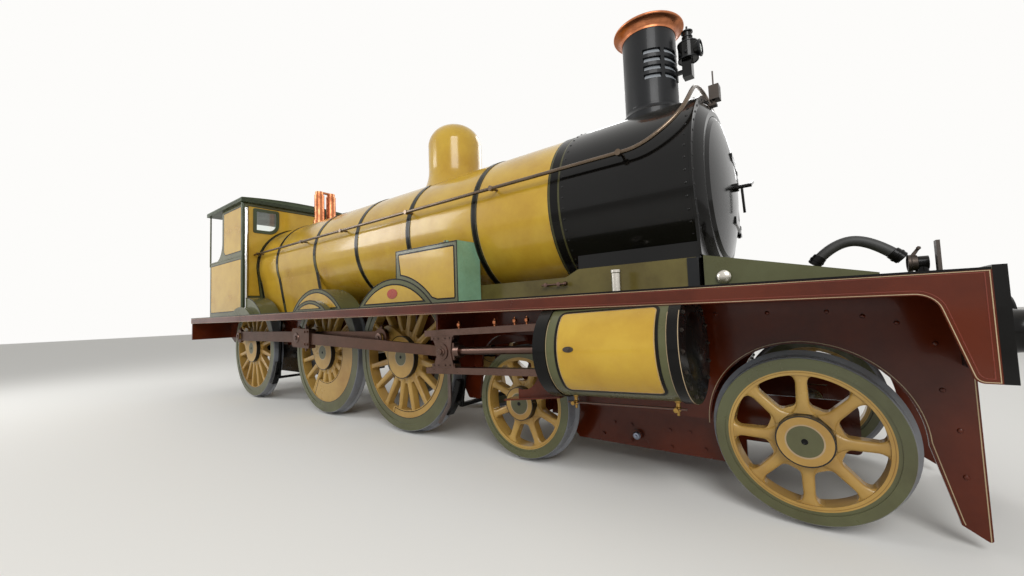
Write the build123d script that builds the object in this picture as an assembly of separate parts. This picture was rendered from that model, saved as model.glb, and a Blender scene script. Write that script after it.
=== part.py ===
"""Museum steam locomotive with two outside cylinders, a leading bogie and six coupled wheels.

Sizes are in millimetres. While it is drawn, X runs forward from the main axle, Y to the left
and Z up from the rail top. save() moves each piece to the part's own frame, with X from the
middle of the whole length and Z from the bottom of the wheel flanges.
"""
from build123d import *
import math
import os

# Clearances
GAP = 0.5
RUNNING_CLEARANCE = 0.1
SLIDING_CLEARANCE = 1
DOOR_CLEARANCE = 5

# Wheels and axles
BACK_TO_BACK = 1360
TYRE_WIDTH = 140
COUPLED_TYRE = 76
BOGIE_TYRE = 60
FLANGE_HEIGHT = 28
FLANGE_WIDTH = 32
COUPLED_DIAMETER = 1600
BOGIE_WHEEL_DIAMETER = 930
COUPLED_AXLE = 190
BOGIE_AXLE = 150
HUB_STAND_OFF = 36
HUB_INNER_Y = 664
SPOKE_SET_BACK = 30
COUPLED_SPOKES = 16
BOGIE_SPOKES = 8
BOGIE_WINDOW_CORNER = 36
COUPLED_HUB = 232
BOGIE_HUB = 140
COUPLED_RIM = 74
BOGIE_RIM = 44
PIN_BOSS = 135
WEIGHT_SET_BACK = 14

# Places of the axles, forward of the main axle
LEADING_X = 1676
TRAILING_X = -2362
BOGIE_REAR_X = 3276
BOGIE_FRONT_X = 5257

# Ends, platform and beams
BEAM_FRONT_X = 5971
BEAM_THICKNESS = 41
BEAM_BOTTOM = 892
REAR_X = -4102
HALF_WIDTH = 1240
PLATFORM_TOP = 1354
PLATE = 10
VALANCE_DEPTH = 93
VALANCE_THICKNESS = 10
SWEEP_TOP_X = 5762
SWEEP_FOOT_X = 5858
DRAG_BEAM_THICKNESS = 40
DRAG_BEAM_BOTTOM = 950
BUFFER_REACH = 480
BUFFER_SPACING = 1730
BUFFER_HEIGHT = 1080
BUFFER_HEAD = 330
LUG_REACH = 150
LUG_THICKNESS = 30
LUG_BOTTOM = 980
LUG_SPREAD = 140
DRAW_PIN_PLACE = 80
DRAW_PIN_RADIUS = 32

# Frame plates and bogie
FRAME_Y = 620
FRAME_THICKNESS = 30
FRAME_BOTTOM = 860
FRAME_TOP = 1525
SADDLE_TOP = 1585
FRAME_LEG_BOTTOM = 400
FRONT_ARCH = 525
REAR_ARCH_TOP = 1035
HORN_WIDTH = 260
BOX_HEIGHT = 280
BOGIE_FRAME_Y = 500
BOGIE_FRAME_THICKNESS = 25
BOGIE_BOX_WIDTH = 216
PIVOT_RADIUS = 120
STAY_BOTTOM = 950
STAY_TOP = 1390

# Cylinders and motion
CYLINDER_X = 4304
CYLINDER_Y = 1050
CYLINDER_SLOPE = 1 / 24
CYLINDER_BORE = 508
CASING_RADIUS = 325
CASING_LENGTH = 798
REAR_COVER = 97
FRONT_COVER = 67
COVER_LIP = 10
STROKE = 610
PISTON_THICKNESS = 110
PISTON_ROD = 66
CONNECTING_ROD_LENGTH = 2820
CONNECTING_ROD_THICKNESS = 44
SMALL_END_DEPTH = 92
BIG_END_DEPTH = 148
BIG_END_THICKNESS = 90
BIG_END_HEIGHT = 250
CRANK_ANGLE = 136
COUPLING_ROD_Y = 935
COUPLING_ROD_THICKNESS = 46
COUPLING_ROD_DEPTH = 150
ROD_EYE = 112
CRANK_PIN = 110
GUDGEON = 76
SLIPPER_LENGTH = 300
BAR_OFFSET = 172
BAR_DEPTH = 56
BAR_WIDTH = 76
BRACKET_CLEARANCE = 41
STEP_REAR_X = 3280
STEP_Y = 985
STEP_THICKNESS = 15
SAND_PIPE_Y = 905

# Boiler
BOILER_Z = 2177
BOILER_RADIUS = 742
BAND_HEIGHT = 6
BAND_WIDTH = 70
FIREBOX_FRONT_X = -420
FIREBOX_WAIST = 600
CAB_FRONT_X = -2400
BACKPLATE_REACH = 150
ASHPAN_HALF_WIDTH = 555
ASHPAN_WAIST = 640
ASHPAN_BOTTOM = 400
SMOKEBOX_RADIUS = 755
SMOKEBOX_WALL = 25
SMOKEBOX_REAR_X = 3700
SMOKEBOX_FRONT_X = 4720
FRONT_PLATE = 20
RING_RADIUS = 700
RING_DEPTH = 50
DOOR_RADIUS = 578
DOOR_DISH = 90
DOOR_HINGE_Y = 640
HINGE_SPREAD = 260
HINGE_PIN = 11

# Boiler mountings
CHIMNEY_RADIUS = 231
CHIMNEY_BORE = 175
CHIMNEY_TOP = 3760
CAP_RADIUS = 305
CAP_HEIGHT = 105
CAP_BOTTOM = CHIMNEY_TOP - CAP_HEIGHT
LOUVRE_BOTTOM = 3204
LOUVRE_PITCH = 74
LOUVRE_HEIGHT = 44
LOUVRE_DEPTH = 24
DOME_X = 1750
DOME_RADIUS = 337
DOME_TOP = 3640
DOME_SKIRT = 430
VALVE_X = -1500
VALVE_Y = 105
VALVE_RADIUS = 80
VALVE_TOP = 3470
LAMP_X = 4598
LAMP_Z = 3430
RAIL_Y = 800
RAIL_Z = 2402
RAIL_RADIUS = 16
RAIL_BEND_X = 4280

# Splashers, sand boxes and the front casing
SPLASHER_Y = 950
SPLASHER_RADIUS = 855
SMALL_SPLASHER_Y = 1030
SMALL_SPLASHER_RADIUS = 700
SPLASHER_INNER_Y = 665
SHEET = 8
SAND_BOX_REAR_X = 1750
SAND_BOX_FRONT_X = 2685
SAND_BOX_TOP = 1945
CASING_HALF_WIDTH = 600
FRONT_CASING_X = 5651
FRONT_CASING_LOW = 1393
HOSE_Y = -300
HOSE_RADIUS = 33
HOSE_FOOT_X = 5352
HOSE_FOOT_Z = 1483
HOSE_CREST = 1624
STANDPIPE_PLACE = 68
STANDPIPE_HEIGHT = 94

# Cab
CAB_HALF_WIDTH = 970
CAB_REAR_X = -4020
CAB_EAVES = 3300
CAB_WAIST = 2390
CUT_OUT_X = -3380
ROOF_OVERHANG = 50
ROOF_THICKNESS = 70
ROOF_RISE = 60

# What follows from the sizes above
COUPLED_RADIUS = COUPLED_DIAMETER / 2
BOGIE_RADIUS = BOGIE_WHEEL_DIAMETER / 2
CRANK = STROKE / 2
PISTON_ROD_LENGTH = CYLINDER_X - CONNECTING_ROD_LENGTH + PISTON_THICKNESS / 2
BAR_REAR_X = CONNECTING_ROD_LENGTH - CRANK - SLIPPER_LENGTH / 2
BRACKET_X = LEADING_X + COUPLED_RADIUS + FLANGE_HEIGHT + BRACKET_CLEARANCE
SAND_PIPE_X = BRACKET_X - 55
TYRE_INNER_Y = BACK_TO_BACK / 2
TYRE_OUTER_Y = TYRE_INNER_Y + TYRE_WIDTH
HUB_OUTER_Y = TYRE_OUTER_Y + HUB_STAND_OFF
BOGIE_PIVOT_X = (BOGIE_REAR_X + BOGIE_FRONT_X) / 2
CHIMNEY_X = BOGIE_PIVOT_X
PLATFORM_UNDER = PLATFORM_TOP - PLATE
VALANCE_BOTTOM = PLATFORM_UNDER - VALANCE_DEPTH
FRAME_INNER_Y = FRAME_Y - FRAME_THICKNESS
BEAM_REAR_X = BEAM_FRONT_X - BEAM_THICKNESS
BUFFER_FRONT_X = BEAM_FRONT_X + BUFFER_REACH
FACE_X = SMOKEBOX_FRONT_X + FRONT_PLATE
CASING_FOOT = SADDLE_TOP + 15
SHIFT = Pos(-(BUFFER_FRONT_X + REAR_X - LUG_REACH) / 2, 0, FLANGE_HEIGHT)

# Stays between the frame plates: X of the rear face, bottom and top
STAYS = [(TRAILING_X - 938, STAY_BOTTOM + 50, STAY_TOP - 90), (900, STAY_BOTTOM, STAY_TOP - 50),
         (LEADING_X + 804, STAY_BOTTOM - 50, STAY_TOP), (CYLINDER_X - 404, STAY_BOTTOM, STAY_TOP),
         (SMOKEBOX_FRONT_X - 80, STAY_BOTTOM, STAY_TOP)]
# Boiler bands: X of the middle and width
BANDS = [(FIREBOX_FRONT_X, BAND_WIDTH), (659, BAND_WIDTH), (1703, BAND_WIDTH), (2716, BAND_WIDTH),
         (SMOKEBOX_REAR_X - 62, 120), (-1640, BAND_WIDTH), (CAB_FRONT_X + 36, BAND_WIDTH)]
# The handrail's bend over the smokebox: how far behind its front, and the angle above its axis
RAIL_BEND = [(220, 20), (56, 31), (4, 45), (10, 65)]
# Sides: name, sign of Y, crank angle
SIDES = [("right", -1, CRANK_ANGLE), ("left", 1, CRANK_ANGLE + 90)]
# Coupled axles: name, X, half angle and inner radius of the balance weight, reach of the pin
COUPLED = [("leading", LEADING_X, 66, 580, 975),
           ("main", 0, 76, 400, 990),
           ("trailing", TRAILING_X, 0, 0, 975)]
# Bogie axles: name, X, angle of the first spoke
BOGIE_SETS = [("front_bogie", BOGIE_FRONT_X, 0), ("rear_bogie", BOGIE_REAR_X, 22.5)]


def save(name, *pieces):
    shape = pieces[0] if len(pieces) == 1 else Compound(children=list(pieces))
    export_step(SHIFT * shape, f"parts/{name}.step")


def outline(*points):
    return make_face(Polyline(*points, close=True))


def cornered(*corners):
    """A face round corners of (across, up, radius); radius 0 leaves a corner sharp."""
    ends = []
    for i, (u, v, radius) in enumerate(corners):
        here = Vector(u, v)
        back = (Vector(*corners[i - 1][:2]) - here).normalized()
        ahead = (Vector(*corners[(i + 1) % len(corners)][:2]) - here).normalized()
        half = math.acos(back.dot(ahead)) / 2
        reach = radius / math.tan(half)
        middle = here + (back + ahead).normalized() * (radius / math.sin(half) - radius)
        ends.append((here + back * reach, middle, here + ahead * reach, radius))
    edges = []
    for i, (start, middle, finish, radius) in enumerate(ends):
        if radius:
            edges.append(ThreePointArc(start, middle, finish))
        edges.append(Line(finish, ends[(i + 1) % len(ends)][0]))
    return make_face(edges)


def curved(*steps):
    """A face round steps of (u, v), or of (u, v, u of the arc's middle, v of it)."""
    edges = []
    for before, step in zip(steps, steps[1:] + steps[:1]):
        start, finish = before[:2], step[:2]
        if len(step) == 4:
            edges.append(ThreePointArc(start, step[2:], finish))
        else:
            edges.append(Line(start, finish))
    return make_face(edges)


def block(x0, x1, y0, y1, z0, z1):
    middle = Pos((x0 + x1) / 2, (y0 + y1) / 2, (z0 + z1) / 2)
    return middle * Box(abs(x1 - x0), abs(y1 - y0), abs(z1 - z0))


def side_plate(face, y0, y1):
    """Thickens a face drawn in X and Z between two places in Y."""
    low, high = sorted((y0, y1))
    return extrude(Plane((0, high, 0), x_dir=(1, 0, 0), z_dir=(0, -1, 0)) * face, high - low)


def cross_plate(face, x0, x1):
    """Thickens a face drawn in Y and Z from one X to a higher X."""
    return extrude(Plane((x0, 0, 0), x_dir=(0, 1, 0), z_dir=(1, 0, 0)) * face, x1 - x0)


def bar_x(radius, x0, x1, y, z):
    return Pos((x0 + x1) / 2, y, z) * Rot(0, 90, 0) * Cylinder(radius, abs(x1 - x0))


def bar_y(radius, y0, y1, x, z):
    return Pos(x, (y0 + y1) / 2, z) * Rot(90, 0, 0) * Cylinder(radius, abs(y1 - y0))


def bar_z(radius, z0, z1, x, y):
    return Pos(x, y, (z0 + z1) / 2) * Cylinder(radius, abs(z1 - z0))


def turned_up(x, face):
    """Turns a face drawn in radius and height about an upright line on the centre line."""
    return Pos(x, 0, 0) * revolve(Plane.XZ * face, Axis.Z)


def turned_across(x, z, face):
    """Turns a face drawn in radius and Y about an axle."""
    return Pos(x, 0, z) * revolve(face, Axis.Y)


def turned_along(y, z, face):
    """Turns a face drawn in X and radius about a line along the engine."""
    return Pos(0, y, z) * revolve(face, Axis.X)


def pipe(radius, points, bend):
    path = FilletPolyline(*points, radius=bend)
    start = Plane(origin=path @ 0, z_dir=path % 0)
    return sweep(start * Circle(radius), path=path)


def strap(first, second, length):
    """Two round ends of these radii, joined by their tangents, from 0 to a length along X."""
    lean = math.acos((first - second) / length)
    c, s = math.cos(lean), math.sin(lean)
    web = outline((first * c, -first * s), (length + second * c, -second * s),
                  (length + second * c, second * s), (first * c, first * s))
    return web + Circle(first) + Pos(length, 0) * Circle(second)


def inclined(shape):
    """Tilts a shape, drawn level at the main axle's height, to the cylinder line."""
    tilt = -math.degrees(math.atan(CYLINDER_SLOPE))
    return Pos(0, 0, COUPLED_RADIUS) * Rot(0, tilt, 0) * Pos(0, 0, -COUPLED_RADIUS) * shape


def on_line(along):
    """X and Z of a point at a distance along the cylinder line from the main axle."""
    angle = math.atan(CYLINDER_SLOPE)
    return along * math.cos(angle), COUPLED_RADIUS + along * math.sin(angle)


def crank_pin(axle_x, angle):
    turn = math.radians(angle)
    return axle_x + CRANK * math.cos(turn), COUPLED_RADIUS + CRANK * math.sin(turn)


def gudgeon_along(angle):
    """How far along the cylinder line the crosshead pin stands at a crank angle."""
    turn = math.radians(angle) - math.atan(CYLINDER_SLOPE)
    return CRANK * math.cos(turn) + math.sqrt(CONNECTING_ROD_LENGTH**2 - (CRANK * math.sin(turn))**2)


def on_axle(x, radius, angle, shape):
    """Sets a shape drawn about the origin on an axle, turned anticlockwise from the right side."""
    return Pos(x, 0, radius) * Rot(0, -angle, 0) * shape


def tyre(x, radius, thickness, sign):
    """A steel tyre with its flange on the inner side."""
    bore = radius - thickness
    inside, outside = TYRE_INNER_Y, TYRE_OUTER_Y
    tip = radius + FLANGE_HEIGHT
    profile = [(bore, inside), (tip - 20, inside), (tip, inside + 10), (tip, inside + 20),
               (radius + 2, inside + FLANGE_WIDTH + 6), (radius - 4, outside - 8), (radius - 10, outside),
               (bore, outside)]
    return turned_across(x, radius, outline(*[(r, sign * y) for r, y in profile]))


def spoked_disc(rim_inner, window_inner, spokes, hub_width, rim_width, corner):
    """The face of a wheel centre out to its rim, with a window between each two spokes."""
    half_step = math.pi / spokes
    window = []
    past_rim = rim_inner + 40
    for turn, edge, reach, width in ((-half_step, 1, window_inner, hub_width), (-half_step, 1, past_rim, rim_width),
                                     (half_step, -1, past_rim, rim_width), (half_step, -1, window_inner, hub_width)):
        across = edge * width / 2
        window.append((reach * math.cos(turn) - across * math.sin(turn),
                       reach * math.sin(turn) + across * math.cos(turn)))
    window = outline(*window) & Circle(rim_inner)
    window = fillet(window.vertices(), corner)
    disc = Circle(rim_inner + 10)
    for i in range(spokes):
        disc -= Rot(0, 0, math.degrees(half_step) + i * 360 / spokes) * window
    return disc


def wheel_centre(rim_outer, rim, hub, sign, spoking):
    """The cast centre that carries the tyre, drawn about the origin with a spoke along X."""
    rim_inner = rim_outer - rim
    y_in, y_out = sign * (TYRE_INNER_Y + 12), sign * (TYRE_OUTER_Y - 6)
    centre = turned_across(0, 0, outline((rim_inner, y_in), (rim_outer, y_in), (rim_outer, y_out), (rim_inner, y_out)))
    centre += side_plate(spoked_disc(rim_inner, *spoking), sign * (TYRE_INNER_Y + 40),
                         sign * (TYRE_OUTER_Y - SPOKE_SET_BACK))
    return centre + bar_y(hub, sign * HUB_INNER_Y, sign * HUB_OUTER_Y, 0, 0)


def balance_weight(half_angle, inner_radius):
    """A round-cornered sector along the rim, drawn about the X axis."""
    outer = COUPLED_RADIUS - COUPLED_TYRE - COUPLED_RIM / 2
    spread = math.radians(half_angle)
    reach = 2 * outer
    wedge = outline((0, 0), (reach * math.cos(spread), reach * math.sin(spread)), (reach, 0),
                    (reach * math.cos(spread), -reach * math.sin(spread)))
    face = (Circle(outer) - Circle(inner_radius)) & wedge
    return fillet(face.vertices(), 0.35 * (outer - inner_radius))


def coupled_centre(sign, half_angle, inner_radius, pin_reach):
    """A driving wheel's centre, drawn about the origin with the crank along X."""
    centre = Rot(0, 180 / COUPLED_SPOKES, 0) * wheel_centre(
        COUPLED_RADIUS - COUPLED_TYRE, COUPLED_RIM, COUPLED_HUB, sign, (COUPLED_HUB + 58, COUPLED_SPOKES, 70, 46, 17))
    if half_angle:
        centre += side_plate(Rot(0, 0, 180) * balance_weight(half_angle, inner_radius), sign * (TYRE_INNER_Y + 30),
                             sign * (TYRE_OUTER_Y - WEIGHT_SET_BACK))
    foot = sign * (HUB_OUTER_Y - 2)
    centre += side_plate(strap(COUPLED_HUB - 4, PIN_BOSS, CRANK), sign * (TYRE_INNER_Y + 22), foot)
    centre += bar_y(CRANK_PIN / 2 + 18, foot - sign * 5, sign * (COUPLING_ROD_Y - 30), CRANK, 0)
    return centre + bar_y(CRANK_PIN / 2, foot - sign * 5, sign * pin_reach, CRANK, 0)


def coupled_wheels(name, x, half_angle, inner_radius, pin_reach):
    pieces = [bar_y(COUPLED_AXLE / 2, GAP - HUB_INNER_Y, HUB_INNER_Y - GAP, x, COUPLED_RADIUS)]
    for _, sign, angle in SIDES:
        pieces.append(on_axle(x, COUPLED_RADIUS, angle, coupled_centre(sign, half_angle, inner_radius, pin_reach)))
    save(f"{name}_wheels", *pieces)
    save(f"{name}_tyres", *[tyre(x, COUPLED_RADIUS, COUPLED_TYRE, sign) for sign in (-1, 1)])


def bogie_wheels(name, x, first_angle):
    pieces = [bar_y(BOGIE_AXLE / 2, GAP - HUB_INNER_Y, HUB_INNER_Y - GAP, x, BOGIE_RADIUS)]
    for sign in (-1, 1):
        centre = wheel_centre(BOGIE_RADIUS - BOGIE_TYRE, BOGIE_RIM, BOGIE_HUB, sign,
                              (BOGIE_HUB + 45, BOGIE_SPOKES, 62, 50, BOGIE_WINDOW_CORNER))
        pieces.append(on_axle(x, BOGIE_RADIUS, first_angle, centre))
    save(f"{name}_wheels", *pieces)
    save(f"{name}_tyres", *[tyre(x, BOGIE_RADIUS, BOGIE_TYRE, sign) for sign in (-1, 1)])


def coupling_rod(side, sign, angle):
    y0 = sign * (COUPLING_ROD_Y - COUPLING_ROD_THICKNESS / 2)
    y1 = sign * (COUPLING_ROD_Y + COUPLING_ROD_THICKNESS / 2)
    eyes = [crank_pin(x, angle) for x in (TRAILING_X, 0, LEADING_X)]
    z = eyes[0][1]
    half = COUPLING_ROD_DEPTH / 2
    rod = block(eyes[0][0], eyes[-1][0], y0 + sign * 6, y1 - sign * 6, z - half, z + half)
    for x, _ in eyes:
        rod += bar_y(ROD_EYE, y0, y1, x, z)
        rod -= bar_y(CRANK_PIN / 2 + RUNNING_CLEARANCE, y0 - sign, y1 + sign, x, z)
    save(f"coupling_rod_{side}", rod)


def connecting_rod(side, sign, angle):
    """Drawn with its crosshead end at 0 and its crank end behind."""
    small_x, small_z = on_line(gudgeon_along(angle))
    big_x, big_z = crank_pin(0, angle)
    lean = math.degrees(math.atan2(big_z - small_z, small_x - big_x))
    half = CONNECTING_ROD_THICKNESS / 2
    big_x = -CONNECTING_ROD_LENGTH
    small, big, tall = SMALL_END_DEPTH / 2, BIG_END_DEPTH / 2, BIG_END_HEIGHT / 2
    rod = side_plate(outline((0, -small), (big_x, -big), (big_x, big), (0, small)), -half, half)
    rod += bar_y(GUDGEON + 4, -half, half, 0, 0)
    end = cornered((big_x - 130, -tall, 50), (big_x + 340, -tall, 20), (big_x + 340, tall, 20), (big_x - 130, tall, 50))
    rod += side_plate(end, -BIG_END_THICKNESS / 2, BIG_END_THICKNESS / 2)
    rod -= bar_y(GUDGEON / 2 + RUNNING_CLEARANCE, -BIG_END_THICKNESS, BIG_END_THICKNESS, 0, 0)
    save(f"connecting_rod_{side}", Pos(small_x, sign * CYLINDER_Y, small_z) * Rot(0, lean, 0) * rod)


def crosshead(side, sign, angle):
    """Slippers, cheeks, pin, piston rod and piston, drawn level and then inclined."""
    along = gudgeon_along(angle)
    y = sign * CYLINDER_Y
    z = COUPLED_RADIUS
    slipper = BAR_OFFSET - BAR_DEPTH / 2 - SLIDING_CLEARANCE
    wide, half = BAR_WIDTH / 2, SLIPPER_LENGTH / 2
    body = bar_y(GUDGEON / 2, y - wide - 20, y + wide + 20, along, z)
    for up in (-1, 1):
        body += block(along - half, along + half, y - wide, y + wide, z + up * (slipper - 35), z + up * slipper)
        cheek = cornered((along - 120, z - slipper + 10, 0), (along + half - 10, z - slipper + 10, 0),
                         (along + 110, z, 90), (along + half - 10, z + slipper - 10, 0),
                         (along - 120, z + slipper - 10, 0), (along - 60, z, 60))
        inner, outer = CONNECTING_ROD_THICKNESS / 2 + 5, wide + 7
        body += side_plate(cheek, y + up * inner, y + up * outer)
        body += bar_y(GUDGEON, y + up * inner, y + up * (outer + 8), along, z)
    body += block(along + 95, along + half, y - wide, y + wide, z - 75, z + 75)
    rod_end = along + PISTON_ROD_LENGTH
    body += bar_x(56, along + half - 5, along + half + 60, y, z)
    body += bar_x(PISTON_ROD / 2, along + half, rod_end, y, z)
    body += bar_x(CYLINDER_BORE / 2 - SLIDING_CLEARANCE, rod_end - PISTON_THICKNESS, rod_end, y, z)
    save(f"crosshead_{side}", inclined(body))


def cylinders():
    casings, covers = [], []
    z = COUPLED_RADIUS
    rear, front = CYLINDER_X - CASING_LENGTH / 2, CYLINDER_X + CASING_LENGTH / 2
    lip = CASING_RADIUS + COVER_LIP
    for sign in (-1, 1):
        y = sign * CYLINDER_Y
        room = block(rear - 500, front + 500, sign * (HALF_WIDTH - VALANCE_THICKNESS - 2), sign * 1500,
                     VALANCE_BOTTOM - 2, PLATFORM_TOP)
        casing = bar_x(CASING_RADIUS, rear, front, y, z)
        casing += block(rear + 20, front - 20, y, sign * FRAME_INNER_Y, z - 250, z + 210)
        casing -= bar_x(CYLINDER_BORE / 2, rear - 1, front + 1, y, z)
        casings.append(inclined(casing) - room - block(rear - 500, front + 500, 0, sign * (FRAME_Y + GAP), 0, 2000))
        rear_cover = bar_x(lip, rear - REAR_COVER, rear - GAP, y, z)
        rear_cover += bar_x(95, rear - REAR_COVER - 90, rear - REAR_COVER + 5, y, z)
        rear_cover -= bar_x(PISTON_ROD / 2 + SLIDING_CLEARANCE, rear - 300, rear + 10, y, z)
        front_cover = turned_along(y, z, curved((front + GAP, 0), (front + FRONT_COVER + 34, 0),
                                                (front + FRONT_COVER, 210, front + FRONT_COVER + 26, 115),
                                                (front + FRONT_COVER, lip), (front + GAP, lip)))
        covers += [inclined(rear_cover) - room, inclined(front_cover) - room]
    save("cylinders", *casings)
    save("cylinder_covers", *covers)


def slide_bars():
    bars, brackets = [], []
    z = COUPLED_RADIUS
    front = CYLINDER_X - CASING_LENGTH / 2 - REAR_COVER - GAP
    above_bars = on_line(BRACKET_X)[1] + BAR_OFFSET + BAR_DEPTH / 2 + 3
    top = PLATFORM_UNDER - GAP
    inner_y, gap_y, outer_y = FRAME_Y + GAP, CYLINDER_Y - BAR_WIDTH / 2 - 22, CYLINDER_Y + BAR_WIDTH / 2 + 12
    for sign in (-1, 1):
        y = sign * CYLINDER_Y
        for offset in (-BAR_OFFSET, BAR_OFFSET):
            bars.append(inclined(block(BAR_REAR_X, front, y - BAR_WIDTH / 2, y + BAR_WIDTH / 2,
                                       z + offset - BAR_DEPTH / 2, z + offset + BAR_DEPTH / 2)))
        face = outline((sign * inner_y, 700), (sign * gap_y, 700), (sign * gap_y, above_bars),
                       (sign * outer_y, above_bars), (sign * outer_y, top), (sign * inner_y, top))
        brackets.append(cross_plate(face, BRACKET_X - 12, BRACKET_X + 12))
        rise = (front - STEP_REAR_X) / 7.5
        step = side_plate(curved((STEP_REAR_X + 105, 550), (front, 540 + rise), (front, 820), (STEP_REAR_X + 298, 820),
                                 (STEP_REAR_X + 105, 628, STEP_REAR_X + 270, 682)),
                          sign * STEP_Y, sign * (STEP_Y + STEP_THICKNESS))
        tread = outline((STEP_REAR_X, 530), (front, 530 + rise), (front, 542 + rise), (STEP_REAR_X, 542))
        brackets.append(step + side_plate(tread, sign * (STEP_Y - 85), sign * (STEP_Y + 75)))
    save("slide_bars", *bars)
    save("motion_brackets", *brackets)


def frames():
    """Two side plates with horn gaps, bogie arches and guard irons, and what joins them."""
    rear = REAR_X + DRAG_BEAM_THICKNESS
    front = BEAM_REAR_X - GAP
    top = PLATFORM_UNDER
    face = cornered((rear, 1000, 0), (rear + 260, FRAME_BOTTOM, 150), (2200, FRAME_BOTTOM, 100),
                    (2470, FRAME_LEG_BOTTOM, 30), (2630, FRAME_LEG_BOTTOM, 30), (2670, REAR_ARCH_TOP, 300),
                    (3815, REAR_ARCH_TOP, 250), (3815, 470, 40), (4800, 470, 0), (4800, 300, 0), (5700, 300, 0),
                    (5868, 110, 0), (5872, 88, 0), (5977, 20, 12), (5977, BEAM_BOTTOM - 2, 0),
                    (front, BEAM_BOTTOM - 2, 0), (front, top, 0), (SMOKEBOX_FRONT_X - 20, top, 0),
                    (SMOKEBOX_FRONT_X - 20, SADDLE_TOP, 0), (3770, SADDLE_TOP, 60), (3650, FRAME_TOP, 60),
                    (2300, FRAME_TOP, 30), (2300, top, 0), (rear, top, 0))
    half = HORN_WIDTH / 2
    for _, x, *_ in COUPLED:
        face += outline((x - 380, FRAME_BOTTOM + 5), (x - 230, 560), (x + 230, 560), (x + 380, FRAME_BOTTOM + 5))
        face -= outline((x - half, 500), (x + half, 500), (x + half, 960), (x - half, 960))
    arch_rear, arch_front = BOGIE_FRONT_X - FRONT_ARCH, BOGIE_FRONT_X + FRONT_ARCH
    face -= Pos(BOGIE_FRONT_X, BOGIE_RADIUS) * Circle(FRONT_ARCH)
    face -= outline((arch_rear, 0), (5874, 0), (5868, 110), (arch_front, BOGIE_RADIUS), (arch_rear, BOGIE_RADIUS))
    save("main_frames", *[side_plate(face, sign * FRAME_INNER_Y, sign * FRAME_Y) for sign in (-1, 1)])
    reach = FRAME_INNER_Y - GAP
    stays = [block(x, x + FRAME_THICKNESS, -reach, reach, z0, z1) for x, z0, z1 in STAYS]
    centre = block(BOGIE_PIVOT_X - 300, BOGIE_PIVOT_X + 300, -reach, reach, 705, 900)
    stays.append(centre - bar_z(PIVOT_RADIUS + RUNNING_CLEARANCE, 600, 800, BOGIE_PIVOT_X, 0))
    save("frame_stays", *stays)
    boxes = []
    half -= GAP
    for _, x, *_ in COUPLED:
        for sign in (-1, 1):
            box = block(x - half, x + half, sign * 556, sign * (HUB_INNER_Y - 12), COUPLED_RADIUS - BOX_HEIGHT / 2,
                        COUPLED_RADIUS + BOX_HEIGHT / 2)
            boxes.append(box - bar_y(COUPLED_AXLE / 2 + RUNNING_CLEARANCE, -700, 700, x, COUPLED_RADIUS))
    save("axleboxes", *boxes)


def wheel_opening():
    """Half the length of the slot in the platform that a coupled wheel turns in."""
    return math.sqrt(SPLASHER_RADIUS**2 - (PLATFORM_TOP - COUPLED_RADIUS)**2) - 4


def platform():
    rear, front = REAR_X, BEAM_REAR_X - GAP
    low, high = PLATFORM_UNDER - 20, PLATFORM_TOP + 20
    plate = block(rear, front, -HALF_WIDTH, HALF_WIDTH, PLATFORM_UNDER + GAP, PLATFORM_TOP)
    plate -= block(CAB_FRONT_X - BACKPLATE_REACH - 5, SMOKEBOX_FRONT_X + 7, -FRAME_Y - 5, FRAME_Y + 5, low, high)
    half = wheel_opening()
    for _, x, *_ in COUPLED:
        for sign in (-1, 1):
            plate -= block(x - half, x + half, sign * FRAME_Y, sign * (SPLASHER_Y - SHEET), low, high)
    save("running_plate", plate)
    face = cornered((rear, VALANCE_BOTTOM, 0), (SWEEP_TOP_X, VALANCE_BOTTOM, 80), (SWEEP_FOOT_X, BEAM_BOTTOM, 30),
                    (front, BEAM_BOTTOM, 0), (front, PLATFORM_UNDER, 0), (rear, PLATFORM_UNDER, 0))
    save("valances", *[side_plate(face, sign * (HALF_WIDTH - VALANCE_THICKNESS), sign * HALF_WIDTH)
                       for sign in (-1, 1)])


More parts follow.
